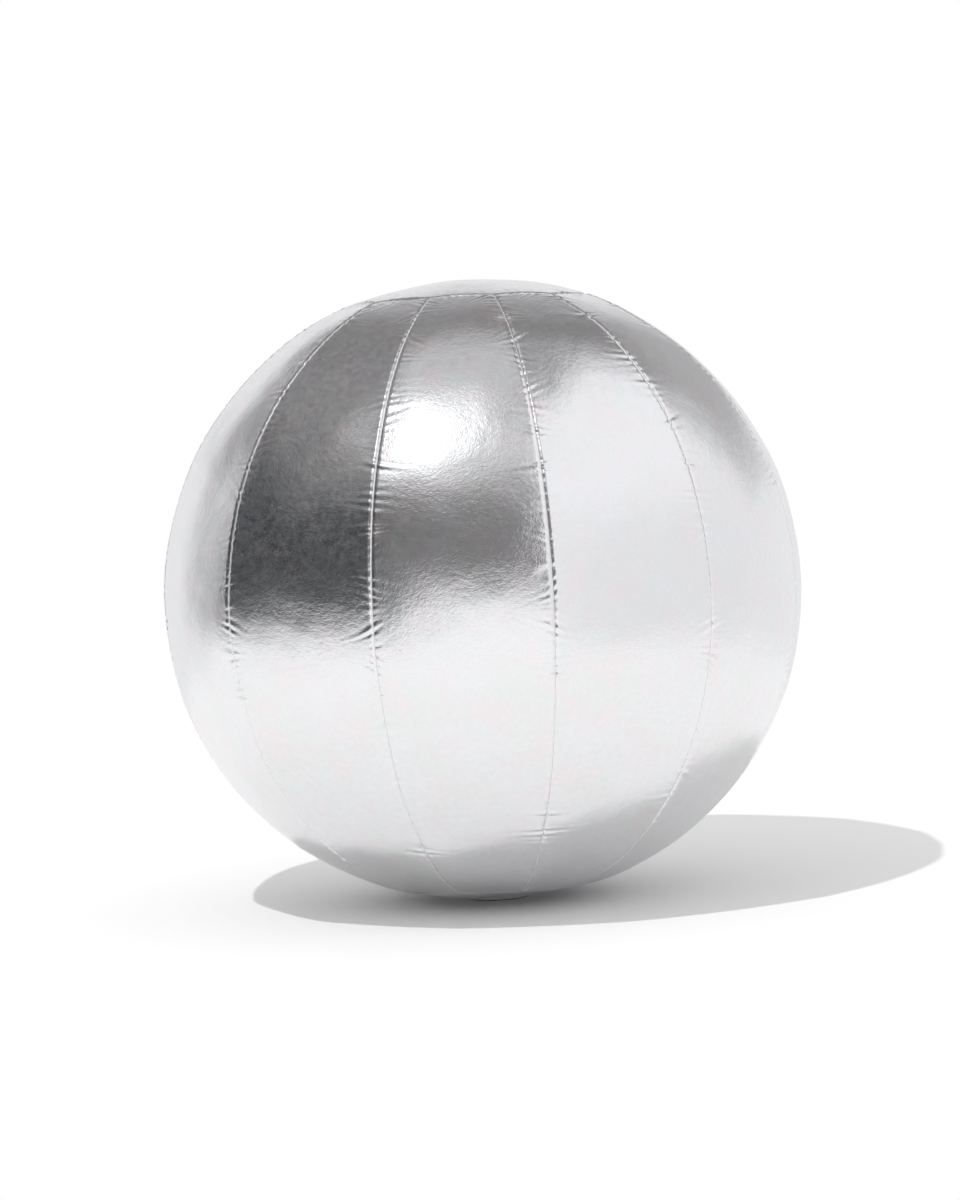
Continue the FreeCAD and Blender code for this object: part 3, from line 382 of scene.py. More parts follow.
def petal_ends(columns):
    """Angles at which each column of a petal meets the caps' straight sides, low and high."""
    share = np.linspace(-1, 1, columns)
    found = []
    for radius, centre in ((LOW_RADIUS, LOW_CENTRE), (UP_RADIUS, UP_CENTRE)):
        rho = np.full(columns, CAP_EDGE)
        # Each pass brings rho nearer to where its column meets the cap's straight side.
        for _ in range(6):
            psi = share * petal_half_angle(rho)
            rho = (CAP_EDGE + FLAT_OFFSET) / np.cos(psi) - FLAT_OFFSET
        found.append(np.arccos((rho - centre) / radius) - SEAM_GAP / radius)
    return found


def petal(number, material):
    columns = 2 * (len(STEPS_FROM_EDGE) - 1) + PETAL_MIDDLE_COLUMNS
    bottom, top = petal_ends(columns)
    run = (LOW_RADIUS * bottom + UP_RADIUS * top).mean()
    share = graded(run, PETAL_ROWS - 2 * (len(STEPS_FROM_EDGE) - 1)) / run
    theta = -bottom + share[:, None] * (top + bottom)
    level = theta.mean(axis=1)
    width = petal_width(level)
    left = SEAM_GAP + ZIP_HALF * zip_share(level, number - 1)
    right = SEAM_GAP + ZIP_HALF * zip_share(level, number)
    across = np.stack([
        start + graded(length - start - end, PETAL_MIDDLE_COLUMNS)
        for start, length, end in zip(left, width, right)
    ])
    # A column keeps its share of the width where the petal's end is not level.
    across = across / width[:, None] * petal_width(theta)
    outer, points, normals, dip = petal_surface(number, theta, across, (bottom, top))
    inner = points - normals * (SKIN + dip)[..., None]
    up = np.array([0, 0, WAIST_Z])
    piece = shell(f"cover_petal_{number:02d}", outer + up, inner + up, INNER_STEP)
    mark_highlight_and_cloth(piece, dip)
    place(piece, "cover", "cover_leather", material, f"gore_{number:02d}")


def top_height(radius):
    """Height of the top cap's dome over the waist, and its slope."""
    sag = CAP_TOP - WAIST_Z - RISE
    dome = (CAP_EDGE**2 + sag**2) / (2 * sag)
    fall = np.sqrt(dome**2 - radius**2)
    return RISE + sag - dome + fall, radius / fall


def bottom_height(radius):
    """Depth of the bottom cap's dome under the waist, and its slope."""
    sag = WAIST_Z - DROP - FLOOR_CAP
    run = CAP_EDGE - BOTTOM_FLAT
    dome = (run**2 + sag**2) / (2 * sag)
    out = np.maximum(radius - BOTTOM_FLAT, 0)
    fall = np.sqrt(dome**2 - out**2)
    return DROP + sag - dome + fall, out / fall


CAP_COLUMNS = 24  # along each of a cap's sides
CAP_RINGS = 53
CAP_CENTRE = 1.5 * MM  # radius of the small face in a cap's middle
FOOT_FLAT = 20 * MM  # the bottom cap is even this far out, and grows uneven over the fade
FOOT_FADE = 30 * MM


def cap(name, node, height_at, sign, seed, material):
    """A twelve-sided dome, gathered along its sides, with a small flat face in its middle."""
    around = GORES * CAP_COLUMNS
    step_in = np.concatenate([
        STEPS_FROM_EDGE,
        np.linspace(STEPS_FROM_EDGE[-1], CAP_EDGE - CAP_CENTRE, CAP_RINGS)[1:],
    ])
    angle = np.arange(around + 1) * 2 * math.pi / around
    within = (angle + HALF) % (2 * HALF) - HALF
    radius = (CAP_EDGE - SEAM_GAP - step_in)[:, None] / np.cos(within)[None, :]
    direction = np.stack([np.sin(angle), -np.cos(angle)], -1)
    height, slope = height_at(radius)
    points = np.empty(radius.shape + (3,))
    points[..., :2] = radius[..., None] * direction
    points[..., 2] = sign * height
    lean = np.arctan(slope)
    normals = np.empty_like(points)
    normals[..., :2] = np.sin(lean)[..., None] * direction
    normals[..., 2] = sign * np.cos(lean)
    distance = np.broadcast_to(step_in[:, None], radius.shape)
    along = np.broadcast_to(angle * CAP_EDGE, radius.shape)
    fade = np.clip((radius - FOOT_FLAT) / FOOT_FADE, 0, 1) if sign < 0 else 1
    lift = gather(along, distance, seed) - groove(distance) + unevenness(points) * fade
    points[..., 2] += WAIST_Z
    outer = points + normals * lift[..., None]
    inner = points - normals * (SKIN + groove(distance))[..., None]
    count = len(step_in) * around
    faces = []

    def add(corners, turn):
        faces.append(tuple(corners if turn else corners[::-1]))

    for i in range(len(step_in) - 1):
        for j in range(around):
            k = (j + 1) % around
            this = i * around
            after = this + around
            quad = [this + j, this + k, after + k, after + j]
            add(quad, sign > 0)
            add([count + v for v in quad], sign < 0)
    last = (len(step_in) - 1) * around
    add([last + j for j in range(around)], sign > 0)
    add([count + last + j for j in range(around)], sign < 0)
    for j in range(around):
        k = (j + 1) % around
        add([k, j, count + j, count + k], sign > 0)
    grid = np.concatenate([outer[:, :-1].reshape(-1, 3), inner[:, :-1].reshape(-1, 3)])
    piece = new_piece(name, grid, faces)
    mark_highlight_and_cloth(piece, groove(distance)[:, :-1])
    place(piece, "cover", "cover_leather", material, node)


# ---------------------------------------------------------------------------------------------
# Tapes, teeth and stitches
# ---------------------------------------------------------------------------------------------
SEWN_GAP = 0.15 * MM  # between the cover and a tape behind it
BINDING_SIDE = np.array([0, 0.9, 1.9, 3.0, 4.4, 6.2, 8.0]) * MM
BINDING_THICK = 0.8 * MM
BINDING_REACH = math.radians(66.5)
BINDING_ROWS = 161
TAPE_INNER = 3.35 * MM
TAPE_OUTER = 15.0 * MM
TAPE_DEPTH = 1.8 * MM
TAPE_THICK = 0.6 * MM
TAPE_PAST = math.radians(1.3)
TAPE_CLOSED = 0.15 * MM
TAPE_CLOSES_AT = 4.5 * MM  # the two tapes start to close in this far past the last tooth
TAPE_CLOSING = 2.5 * MM  # and meet over this length
TAPE_SLOPE = math.tan(math.radians(9.5))  # of the petal that the tape lies against
TAPE_RIBS = 8
TAPE_RIB = 0.06 * MM
TEETH_HIGH = math.radians(-1.3)
TEETH_LOW = math.radians(-64.8)
TOOTH_PITCH = 2.6 * MM
LEFT_PHASE = 0.6  # pitches from the lowest point to each row's first tooth
RIGHT_PHASE = 1.1
TOOTH_DEPTHS = (0.95 * MM, 1.2 * MM, 2.8 * MM, 3.05 * MM)
TOOTH_END = 0.8  # size of a tooth's outermost and innermost outline beside the ones between
STITCH_PITCH = 5.0 * MM
STITCH_LENGTH = 3.9 * MM
STITCH_RADIUS = 0.3 * MM
STITCH_FROM_EDGE = 2.4 * MM


def strip_uv(piece, rows, columns, along, across):
    """Lays a strip's length and width out as its texture coordinates, in metres."""
    layer = piece.data.uv_layers.new(name="weave")
    place_of = np.stack([np.broadcast_to(across, (rows, columns)), along], -1).reshape(-1, 2)
    both = np.concatenate([place_of, place_of])
    corners = np.empty(len(piece.data.loops), dtype=int)
    piece.data.loops.foreach_get("vertex_index", corners)
    layer.data.foreach_set("uv", both[corners].reshape(-1))


def binding(number):
    """The tape sewn behind one seam, which follows the two petals' dip towards it."""
    across = np.concatenate([-BINDING_SIDE[:0:-1], BINDING_SIDE])
    theta = np.linspace(-BINDING_REACH, BINDING_REACH, BINDING_ROWS)[:, None]
    theta = theta + np.zeros(len(across))
    near = np.abs(across) + 0 * theta
    points, normals = petal_base(theta, petal_width(theta) - near)
    points = turned(points, math.pi / 2 - HALF)
    normals = turned(normals, math.pi / 2 - HALF)
    mirrored = np.where(across > 0, -1.0, 1.0)
    for grid in (points, normals):
        grid[..., 1] *= mirrored
    centre = len(BINDING_SIDE) - 1
    normals[:, centre, 1] = 0
    azimuth = (2 * number - 1) * HALF
    depth = SKIN + groove(near) + SEWN_GAP
    outer = turned(points - normals * depth[..., None], azimuth)
    inner = turned(points - normals * (depth + BINDING_THICK)[..., None], azimuth)
    up = np.array([0, 0, WAIST_Z])
    piece = shell(f"seam_tape_{number:02d}", outer + up, inner + up)
    strip_uv(piece, *near.shape, theta * LOW_RADIUS, across)
    return piece


def seam_point(theta, aside, depth):
    """A place in the zip, from its angle over the waist, side and depth under the cover."""
    radius = SEAM_RADIUS - depth
    outward = SEAM_CENTRE + radius * np.cos(theta)
    height = radius * np.sin(theta) + WAIST_Z
    return turned(np.stack([outward, aside + 0 * outward, height], -1), ZIP_AZIMUTH)


def zip_tape(name, side, material):
    """One half of the zip's woven tape. Its inner edge closes in past the ends of the teeth."""
    high = ZIP_TOP + TAPE_PAST
    low = ZIP_BOTTOM - TAPE_PAST
    theta = np.linspace(low, high, 301)[:, None]
    past = np.maximum(theta - TEETH_HIGH, TEETH_LOW - theta) * SEAM_RADIUS
    t = np.clip((past - TAPE_CLOSES_AT) / TAPE_CLOSING, 0, 1)
    edge = TAPE_INNER + (TAPE_CLOSED - TAPE_INNER) * t * t * (3 - 2 * t)
    share = np.linspace(0, 1, 17)
    aside = edge + (TAPE_OUTER - edge) * share
    ribs = TAPE_RIB * np.sin(2 * math.pi * share * TAPE_RIBS)
    if side < 0:
        aside = aside[:, ::-1]
    depth = TAPE_DEPTH + SEWN_GAP + np.maximum(aside - ZIP_HALF, 0) * TAPE_SLOPE - ribs
    outer = seam_point(theta, side * aside, depth)
    inner = seam_point(theta, side * aside, depth + TAPE_THICK + ribs)
    piece = shell(name, outer, inner)
    strip_uv(piece, *aside.shape, theta * SEAM_RADIUS + 0 * aside, aside[0])
    node = "zip_tape_left" if side < 0 else "zip_tape_right"
    place(piece, "cover", "zip_tape", material, node)


def tooth_outline():
    """One tooth seen from outside, as (side, along) corners: a shank and a rounder head."""
    corners = [(3.3, -0.5), (1.9, -0.5), (1.6, -0.78), (1.0, -0.82), (0.65, -0.5)]
    outline = corners + [(side, -along) for side, along in reversed(corners)]
    return [(side * MM, along * MM) for side, along in outline]


def zip_teeth(name, side, material):
    """One row of teeth. The other row stands half a pitch further along."""
    count = int((TEETH_HIGH - TEETH_LOW) * SEAM_RADIUS / TOOTH_PITCH) - 1
    outline = np.array(tooth_outline())
    middle = outline.mean(axis=0)
    phase = LEFT_PHASE if side < 0 else RIGHT_PHASE
    points = []
    faces = []
    corners = len(outline)
    for number in range(count):
        along = (number + phase) * TOOTH_PITCH
        theta = TEETH_LOW + along / SEAM_RADIUS
        start = len(points)
        for ring, depth in enumerate(TOOTH_DEPTHS):
            at_end = ring in (0, len(TOOTH_DEPTHS) - 1)
            shape = middle + (outline - middle) * (TOOTH_END if at_end else 1.0)
            for aside, step in shape:
                points.append(seam_point(theta + step / SEAM_RADIUS, side * aside, depth))
        starts = [start + ring * corners for ring in range(len(TOOTH_DEPTHS))]
        rings = [range(first, first + corners) for first in starts]
        made = [tuple(rings[0]), tuple(reversed(rings[-1]))]
        for upper, lower in zip(rings, rings[1:]):
            for j in range(corners):
                k = (j + 1) % corners
                made.append((upper[k], upper[j], lower[j], lower[k]))
        faces += made if side < 0 else [face[::-1] for face in made]
    piece = new_piece(name, points, faces, smooth=False)
    node = "zip_teeth_left" if side < 0 else "zip_teeth_right"
    place(piece, "cover", "zip_teeth", material, node)


def stitches(name, side, material):
    """A row of top-stitches through the turned edge on one side of the zip."""
    number = ZIP_SEAM if side < 0 else ZIP_SEAM + 1
    count = int((ZIP_TOP - ZIP_BOTTOM) * LOW_RADIUS / STITCH_PITCH)
    starts = ZIP_BOTTOM + (np.arange(count) + 0.1) * STITCH_PITCH / LOW_RADIUS
    share = np.array([0, 0.05, 0.2, 0.5, 0.8, 0.95, 1.0])
    swell = np.array([0.02, 0.55, 0.9, 1.0, 0.9, 0.55, 0.02])
    theta = starts[:, None] + share * STITCH_LENGTH / LOW_RADIUS
    from_seam = ZIP_HALF + STITCH_FROM_EDGE
    across = petal_width(theta) - from_seam if side < 0 else from_seam + 0 * theta
    outer, _, normals, _ = petal_surface(number, theta, across)
    outer = outer + normals * (STITCH_RADIUS * (0.9 * swell - 0.35))[:, None]
    outer[..., 2] += WAIST_Z
    aside = np.cross(normals, np.gradient(outer, axis=1))
    aside /= np.linalg.norm(aside, axis=-1, keepdims=True)
    turns = 8
    points = []
    faces = []
    for i in range(count):
        start = len(points)
        for j in range(len(share)):
            for turn in range(turns):
                angle = 2 * math.pi * turn / turns
                out = aside[i, j] * math.cos(angle) + normals[i, j] * math.sin(angle)
                points.append(outer[i, j] + out * STITCH_RADIUS * swell[j])
        for j in range(len(share) - 1):
            for turn in range(turns):
                here = start + j * turns + turn
                beside = start + j * turns + (turn + 1) % turns
                faces.append((here, here + turns, beside + turns, beside))
        faces.append(tuple(range(start, start + turns)))
        end = start + (len(share) - 1) * turns
        faces.append(tuple(range(end + turns - 1, end - 1, -1)))
    place(new_piece(name, points, faces), "cover", "zip_tape", material)


# ---------------------------------------------------------------------------------------------
# Finishes
# ---------------------------------------------------------------------------------------------
def node_tree(name, coordinate="Object"):
    material = bpy.data.materials.new(name)
    material.use_nodes = True
    tree = material.node_tree
    shader = tree.nodes["Principled BSDF"]
    coordinates = tree.nodes.new("ShaderNodeTexCoord")
    return material, tree, shader, coordinates.outputs[coordinate]


def noise(tree, where, size, detail, roughness=0.5):
    """Noise whose largest features are about this size in metres."""
    made = tree.nodes.new("ShaderNodeTexNoise")
    made.inputs["Scale"].default_value = 1 / size
    made.inputs["Detail"].default_value = detail
    made.inputs["Roughness"].default_value = roughness
    tree.links.new(where, made.inputs["Vector"])
    return made.outputs["Fac"]


def threads(tree, where, direction, pitch):
    """Even bands across one direction. A wave texture of scale 1 turns 20 radians a metre."""
    made = tree.nodes.new("ShaderNodeTexWave")
    made.bands_direction = direction
    made.inputs["Scale"].default_value = 2 * math.pi / 20 / pitch
    made.inputs["Distortion"].default_value = 0.6
    made.inputs["Detail"].default_value = 1.0
    tree.links.new(where, made.inputs["Vector"])
    return made.outputs["Fac"]


def remap(tree, value, to_low, to_high, low=0.35, high=0.65):
    made = tree.nodes.new("ShaderNodeMapRange")
    made.inputs["From Min"].default_value = low
    made.inputs["From Max"].default_value = high
    made.inputs["To Min"].default_value = to_low
    made.inputs["To Max"].default_value = to_high
    tree.links.new(value, made.inputs["Value"])
    return made.outputs["Result"]


def combine(tree, kind, one, other):
    made = tree.nodes.new("ShaderNodeMath")
    made.operation = kind
    tree.links.new(one, made.inputs[0])
    tree.links.new(other, made.inputs[1])
    return made.outputs[0]


def blend_colour(tree, factor, one, other):
    """Mixes two colours. The mix node keeps them in sockets 6 and 7, and gives output 2."""
    made = tree.nodes.new("ShaderNodeMix")
    made.data_type = "RGBA"
    for socket, value in ((made.inputs[6], one), (made.inputs[7], other)):
        if isinstance(value, tuple):
            socket.default_value = (*value, 1)
        else:
            tree.links.new(value, socket)
    tree.links.new(factor, made.inputs[0])
    return made.outputs[2]


def bump(tree, height, distance, strength, before=None):
    made = tree.nodes.new("ShaderNodeBump")
    made.inputs["Distance"].default_value = distance
    made.inputs["Strength"].default_value = strength
    tree.links.new(height, made.inputs["Height"])
    if before is not None:
        tree.links.new(before, made.inputs["Normal"])
    return made.outputs["Normal"]


def foil_leather():
    """Soft faux leather under a crinkled silver foil with a faint pink and green cast. Where the
    foil has worn thin, a little of the cloth behind it shows as a dull bloom. Along the seams a
    pale, less metallic line is a painted highlight."""
    material, tree, shader, where = node_tree("foil_leather")
    cast = remap(tree, noise(tree, where, 23 * MM, 3), 0, 1, 0.38, 0.62)
    tinted = blend_colour(tree, cast, (0.836, 0.799, 0.815), (0.788, 0.815, 0.802))
    cloud = remap(tree, noise(tree, where, 46 * MM, 4), 0, 1, 0.3, 0.7)
    colour = blend_colour(tree, cloud, tinted, (0.825, 0.828, 0.845))
    worn = remap(tree, noise(tree, where, 6 * MM, 6, 0.75), 0.89, 1.0, 0.33, 0.64)
    # Painted highlight: a pale, less metallic line where a seam's groove is deepest. On the inside
    # it is the bare cloth's own pale colour.
    mark = tree.nodes.new("ShaderNodeAttribute")
    mark.attribute_name = "seam_highlight_and_cloth"
    highlight_breakup = remap(tree, noise(tree, where, 3 * MM, 3), 0.45, 1.0)
    painted_highlight = combine(tree, "MULTIPLY", mark.outputs["Fac"], highlight_breakup)
    colour = blend_colour(tree, painted_highlight, colour, (0.88, 0.88, 0.90))
    tree.links.new(colour, shader.inputs["Base Color"])
    metal_share = remap(tree, painted_highlight, 1.0, 0.25, 0.0, 1.0)
    tree.links.new(combine(tree, "MULTIPLY", worn, metal_share), shader.inputs["Metallic"])
    rough = remap(tree, noise(tree, where, 6 * MM, 3), 0.14, 0.23, 0.3, 0.7)
    tree.links.new(rough, shader.inputs["Roughness"])
    grain = bump(tree, noise(tree, where, 1.1 * MM, 2, 0.6), 0.3 * MM, 0.4)
    crinkle = bump(tree, noise(tree, where, 3.6 * MM, 4, 0.6), 0.6 * MM, 0.34, grain)
    tree.links.new(crinkle, shader.inputs["Normal"])
    return material


def cloudy(name, light, dark, patch, gloss, grain, depth, metallic=0.0, sheen=0.0, coat=0.0):
    """Two tones in soft patches, speckled, with uneven gloss and a fine grain."""
    material, tree, shader, where = node_tree(name)
    cloud = remap(tree, noise(tree, where, patch, 4), 0, 1)
    speckle = remap(tree, noise(tree, where, grain * 1.7, 2), 0, 0.3, 0.55, 0.7)
    colour = blend_colour(tree, cloud, light, dark)
    tree.links.new(blend_colour(tree, speckle, colour, dark), shader.inputs["Base Color"])
    rough = remap(tree, noise(tree, where, patch * 0.3, 5), *gloss)
    tree.links.new(rough, shader.inputs["Roughness"])
    fine = bump(tree, noise(tree, where, grain, 3, 0.6), depth, 0.5)
    tree.links.new(fine, shader.inputs["Normal"])
    shader.inputs["Metallic"].default_value = metallic
    shader.inputs["Sheen Weight"].default_value = sheen
    shader.inputs["Coat Weight"].default_value = coat
    return material


def woven(name, light, dark, pitch):
    """Cloth tape: raised threads both ways, painted shade in the gaps between them, a soft sheen."""
    material, tree, shader, where = node_tree(name, "UV")
    warp = threads(tree, where, "X", pitch)
    weft = threads(tree, where, "Y", pitch * 0.8)
    height = combine(tree, "MAXIMUM", warp, weft)
    fuzz = remap(tree, noise(tree, where, pitch * 6, 4), 0.0, 1.0)
    yarn = blend_colour(tree, fuzz, light, dark)
    # Painted shade: where the weave is low, between the threads, the colour turns to the dark tone.
    tree.links.new(blend_colour(tree, height, dark, yarn), shader.inputs["Base Color"])
    rough = remap(tree, noise(tree, where, pitch * 3, 2), 0.75, 0.95)
    tree.links.new(rough, shader.inputs["Roughness"])
    tree.links.new(bump(tree, height, pitch * 0.3, 0.6), shader.inputs["Normal"])
    shader.inputs["Sheen Weight"].default_value = 0.3
    return material


def dress(node, material):
    """Gives a node that keeps its own shape its finish."""
    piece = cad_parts[node]
    if not piece.material_slots:
        piece.data.materials.append(material)
    for slot in piece.material_slots:
        slot.material = material


# ---------------------------------------------------------------------------------------------
# The object
# ---------------------------------------------------------------------------------------------
foil = foil_leather()
for number in range(1, GORES + 1):
    petal(number, foil)
cap("cover_top", "top_cap", top_height, 1, TOP_END_SEED, foil)
cap("cover_bottom", "bottom_cap", bottom_height, -1, LOW_END_SEED, foil)

grey_tape = woven("binding_weave", (0.50, 0.50, 0.52), (0.30, 0.30, 0.32), 0.7 * MM)
bindings = [node for node in sorted(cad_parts) if node.startswith("seam_binding_")]
seams = [seam for seam in range(1, GORES + 1) if seam != ZIP_SEAM]
for node in bindings:
    low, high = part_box(node)
    middle = (low + high) / 2
    azimuth = math.atan2(middle.x, -middle.y) % (2 * math.pi)
    seam = min(seams, key=lambda s: abs(azimuth - (2 * s - 1) * HALF))
    place(binding(seam), "cover", "binding_tape", grey_tape, node)

zip_weave = woven("zip_tape_weave", (0.62, 0.62, 0.64), (0.38, 0.38, 0.40), 0.6 * MM)
zip_tape("zip_cloth_left", -1, zip_weave)
zip_tape("zip_cloth_right", 1, zip_weave)
nylon = cloudy(
    "zip_nylon", (0.55, 0.55, 0.57), (0.42, 0.42, 0.44), 9 * MM, (0.30, 0.48), 0.5 * MM, 0.04 * MM
)
zip_teeth("zip_row_left", -1, nylon)
zip_teeth("zip_row_right", 1, nylon)
thread = cloudy(
    "stitch_thread", (0.74, 0.74, 0.76), (0.52, 0.52, 0.55), 5 * MM, (0.55, 0.8), 0.3 * MM,
    0.08 * MM, sheen=0.3,
)
stitches("zip_stitches_left", -1, thread)
stitches("zip_stitches_right", 1, thread)

nickel = cloudy(
    "zip_nickel", (0.72, 0.71, 0.69), (0.56, 0.55, 0.54), 7 * MM, (0.18, 0.36), 0.4 * MM,
    0.02 * MM, metallic=1.0,
)
metal_pieces = (
    ("zip_slider", "slider_body", "slider", 0.22 * MM),
    ("zip_pull", "pull_tab", "pull", 0.35 * MM),
    ("zip_top_stop_left", "stop_top_left", "cover", 0.25 * MM),
    ("zip_top_stop_right", "stop_top_right", "cover", 0.25 * MM),
    ("zip_bottom_stop", "stop_bottom", "cover", 0.25 * MM),
)
for node, name, body, width in metal_pieces:
    place(eased_copy(name, node, width), body, "zip_metal", nickel, node)

FOOT_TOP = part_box("foot")[1]
FOOT_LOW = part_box("foot")[0].z
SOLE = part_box("foot_sole")[1]
SOLE_ROOM = 0.2 * MM
FOOT_SOLE_RADIUS = 0.027
FOOT_RIM = 1.2 * MM  # height of the foot's upright upper edge
ROUND_SEGMENTS = 160
silver_plastic = cloudy(
    "silver_plastic", (0.78, 0.78, 0.80), (0.68, 0.68, 0.70), 24 * MM, (0.34, 0.5), 0.45 * MM,
    0.05 * MM, coat=0.15,
)
foot = lathe("foot_moulding", eased([
    (0, SOLE.z + SOLE_ROOM / 2),
    (SOLE.x + SOLE_ROOM, SOLE.z + SOLE_ROOM / 2),
    (SOLE.x + SOLE_ROOM, FOOT_LOW),
    (FOOT_SOLE_RADIUS, FOOT_LOW),
    (FOOT_TOP.x, FOOT_TOP.z - FOOT_RIM),
    (FOOT_TOP.x, FOOT_TOP.z),
    (0, FOOT_TOP.z),
], 0.7 * MM), ROUND_SEGMENTS)
place(foot, "cover", "foot_plastic", silver_plastic, "foot")

rubber = cloudy(
    "sole_rubber", (0.055, 0.055, 0.058), (0.03, 0.03, 0.032), 12 * MM, (0.6, 0.85), 0.5 * MM,
    0.07 * MM,
)
TREAD_DEPTH = 0.7 * MM
TREAD_WIDTH = 1.6 * MM
TREAD_SLANT = 0.2 * MM
tread = [(0, 0)]
for ring in (6 * MM, 11 * MM, 16 * MM, 21 * MM):
    tread += [
        (ring, 0), (ring + TREAD_SLANT, TREAD_DEPTH),
        (ring + TREAD_WIDTH, TREAD_DEPTH), (ring + TREAD_WIDTH + TREAD_SLANT, 0),
    ]
tread += [(SOLE.x, 0), (SOLE.x, SOLE.z), (0, SOLE.z)]
sole = lathe("sole_tread", eased(tread, 0.4 * MM, 3), ROUND_SEGMENTS)
place(sole, "cover", "sole_rubber", rubber, "foot_sole")

vinyl = cloudy(
    "bladder_vinyl", (0.30, 0.32, 0.35), (0.25, 0.27, 0.30), 60 * MM, (0.28, 0.42), 1.2 * MM,
    0.05 * MM, coat=0.2,
)
dress("bladder", vinyl)
valve_white = cloudy(
    "valve_plastic", (0.78, 0.78, 0.76), (0.66, 0.66, 0.64), 8 * MM, (0.35, 0.5), 0.4 * MM,
    0.03 * MM,
)
dress("valve_seat", valve_white)
dress("valve_plug", valve_white)
plate_grey = cloudy(
    "plate_plastic", (0.16, 0.16, 0.17), (0.11, 0.11, 0.12), 16 * MM, (0.4, 0.6), 0.5 * MM,
    0.05 * MM,
)
dress("foot_backing_plate", plate_grey)
steel = cloudy(
    "screw_steel", (0.58, 0.57, 0.55), (0.42, 0.41, 0.40), 3 * MM, (0.22, 0.45), 0.3 * MM,
    0.02 * MM, metallic=1.0,
)
dress("foot_screws", steel)


# ---------------------------------------------------------------------------------------------
# Studio
# ---------------------------------------------------------------------------------------------
CAMERA_AZIMUTH = math.radians(3.7)
CAMERA_ELEVATION = math.radians(3.0)
CAMERA_ROLL = math.radians(-2.8)
CAMERA_DISTANCE = 2.737
BALL_ASIDE = 3.2 * MM  # the ball's middle stands this far right of the middle of the view
BALL_RAISED = 6.9 * MM  # and this far over it


def towards(azimuth, elevation):
    """The direction at an azimuth from the front towards +X and an elevation over the floor."""
    flat = math.cos(elevation)
    return Vector((
        math.sin(azimuth) * flat,
        -math.cos(azimuth) * flat,
        math.sin(elevation),
    ))


def add_camera():
    data = bpy.data.cameras.new("camera")
    data.lens = 95
    data.sensor_width = 36
    camera = bpy.data.objects.new("camera", data)
    SCENE.collection.objects.link(camera)
    back = towards(CAMERA_AZIMUTH, CAMERA_ELEVATION)
    look = (-back).to_track_quat("-Z", "Y").to_matrix().to_4x4()
    look = look @ Matrix.Rotation(CAMERA_ROLL, 4, "Z")
    shift = look.to_3x3() @ Vector((BALL_ASIDE, BALL_RAISED, 0))
    middle = Vector((0, 0, WAIST_Z)) - shift
    camera.matrix_world = Matrix.Translation(middle + back * CAMERA_DISTANCE) @ look
    SCENE.camera = camera


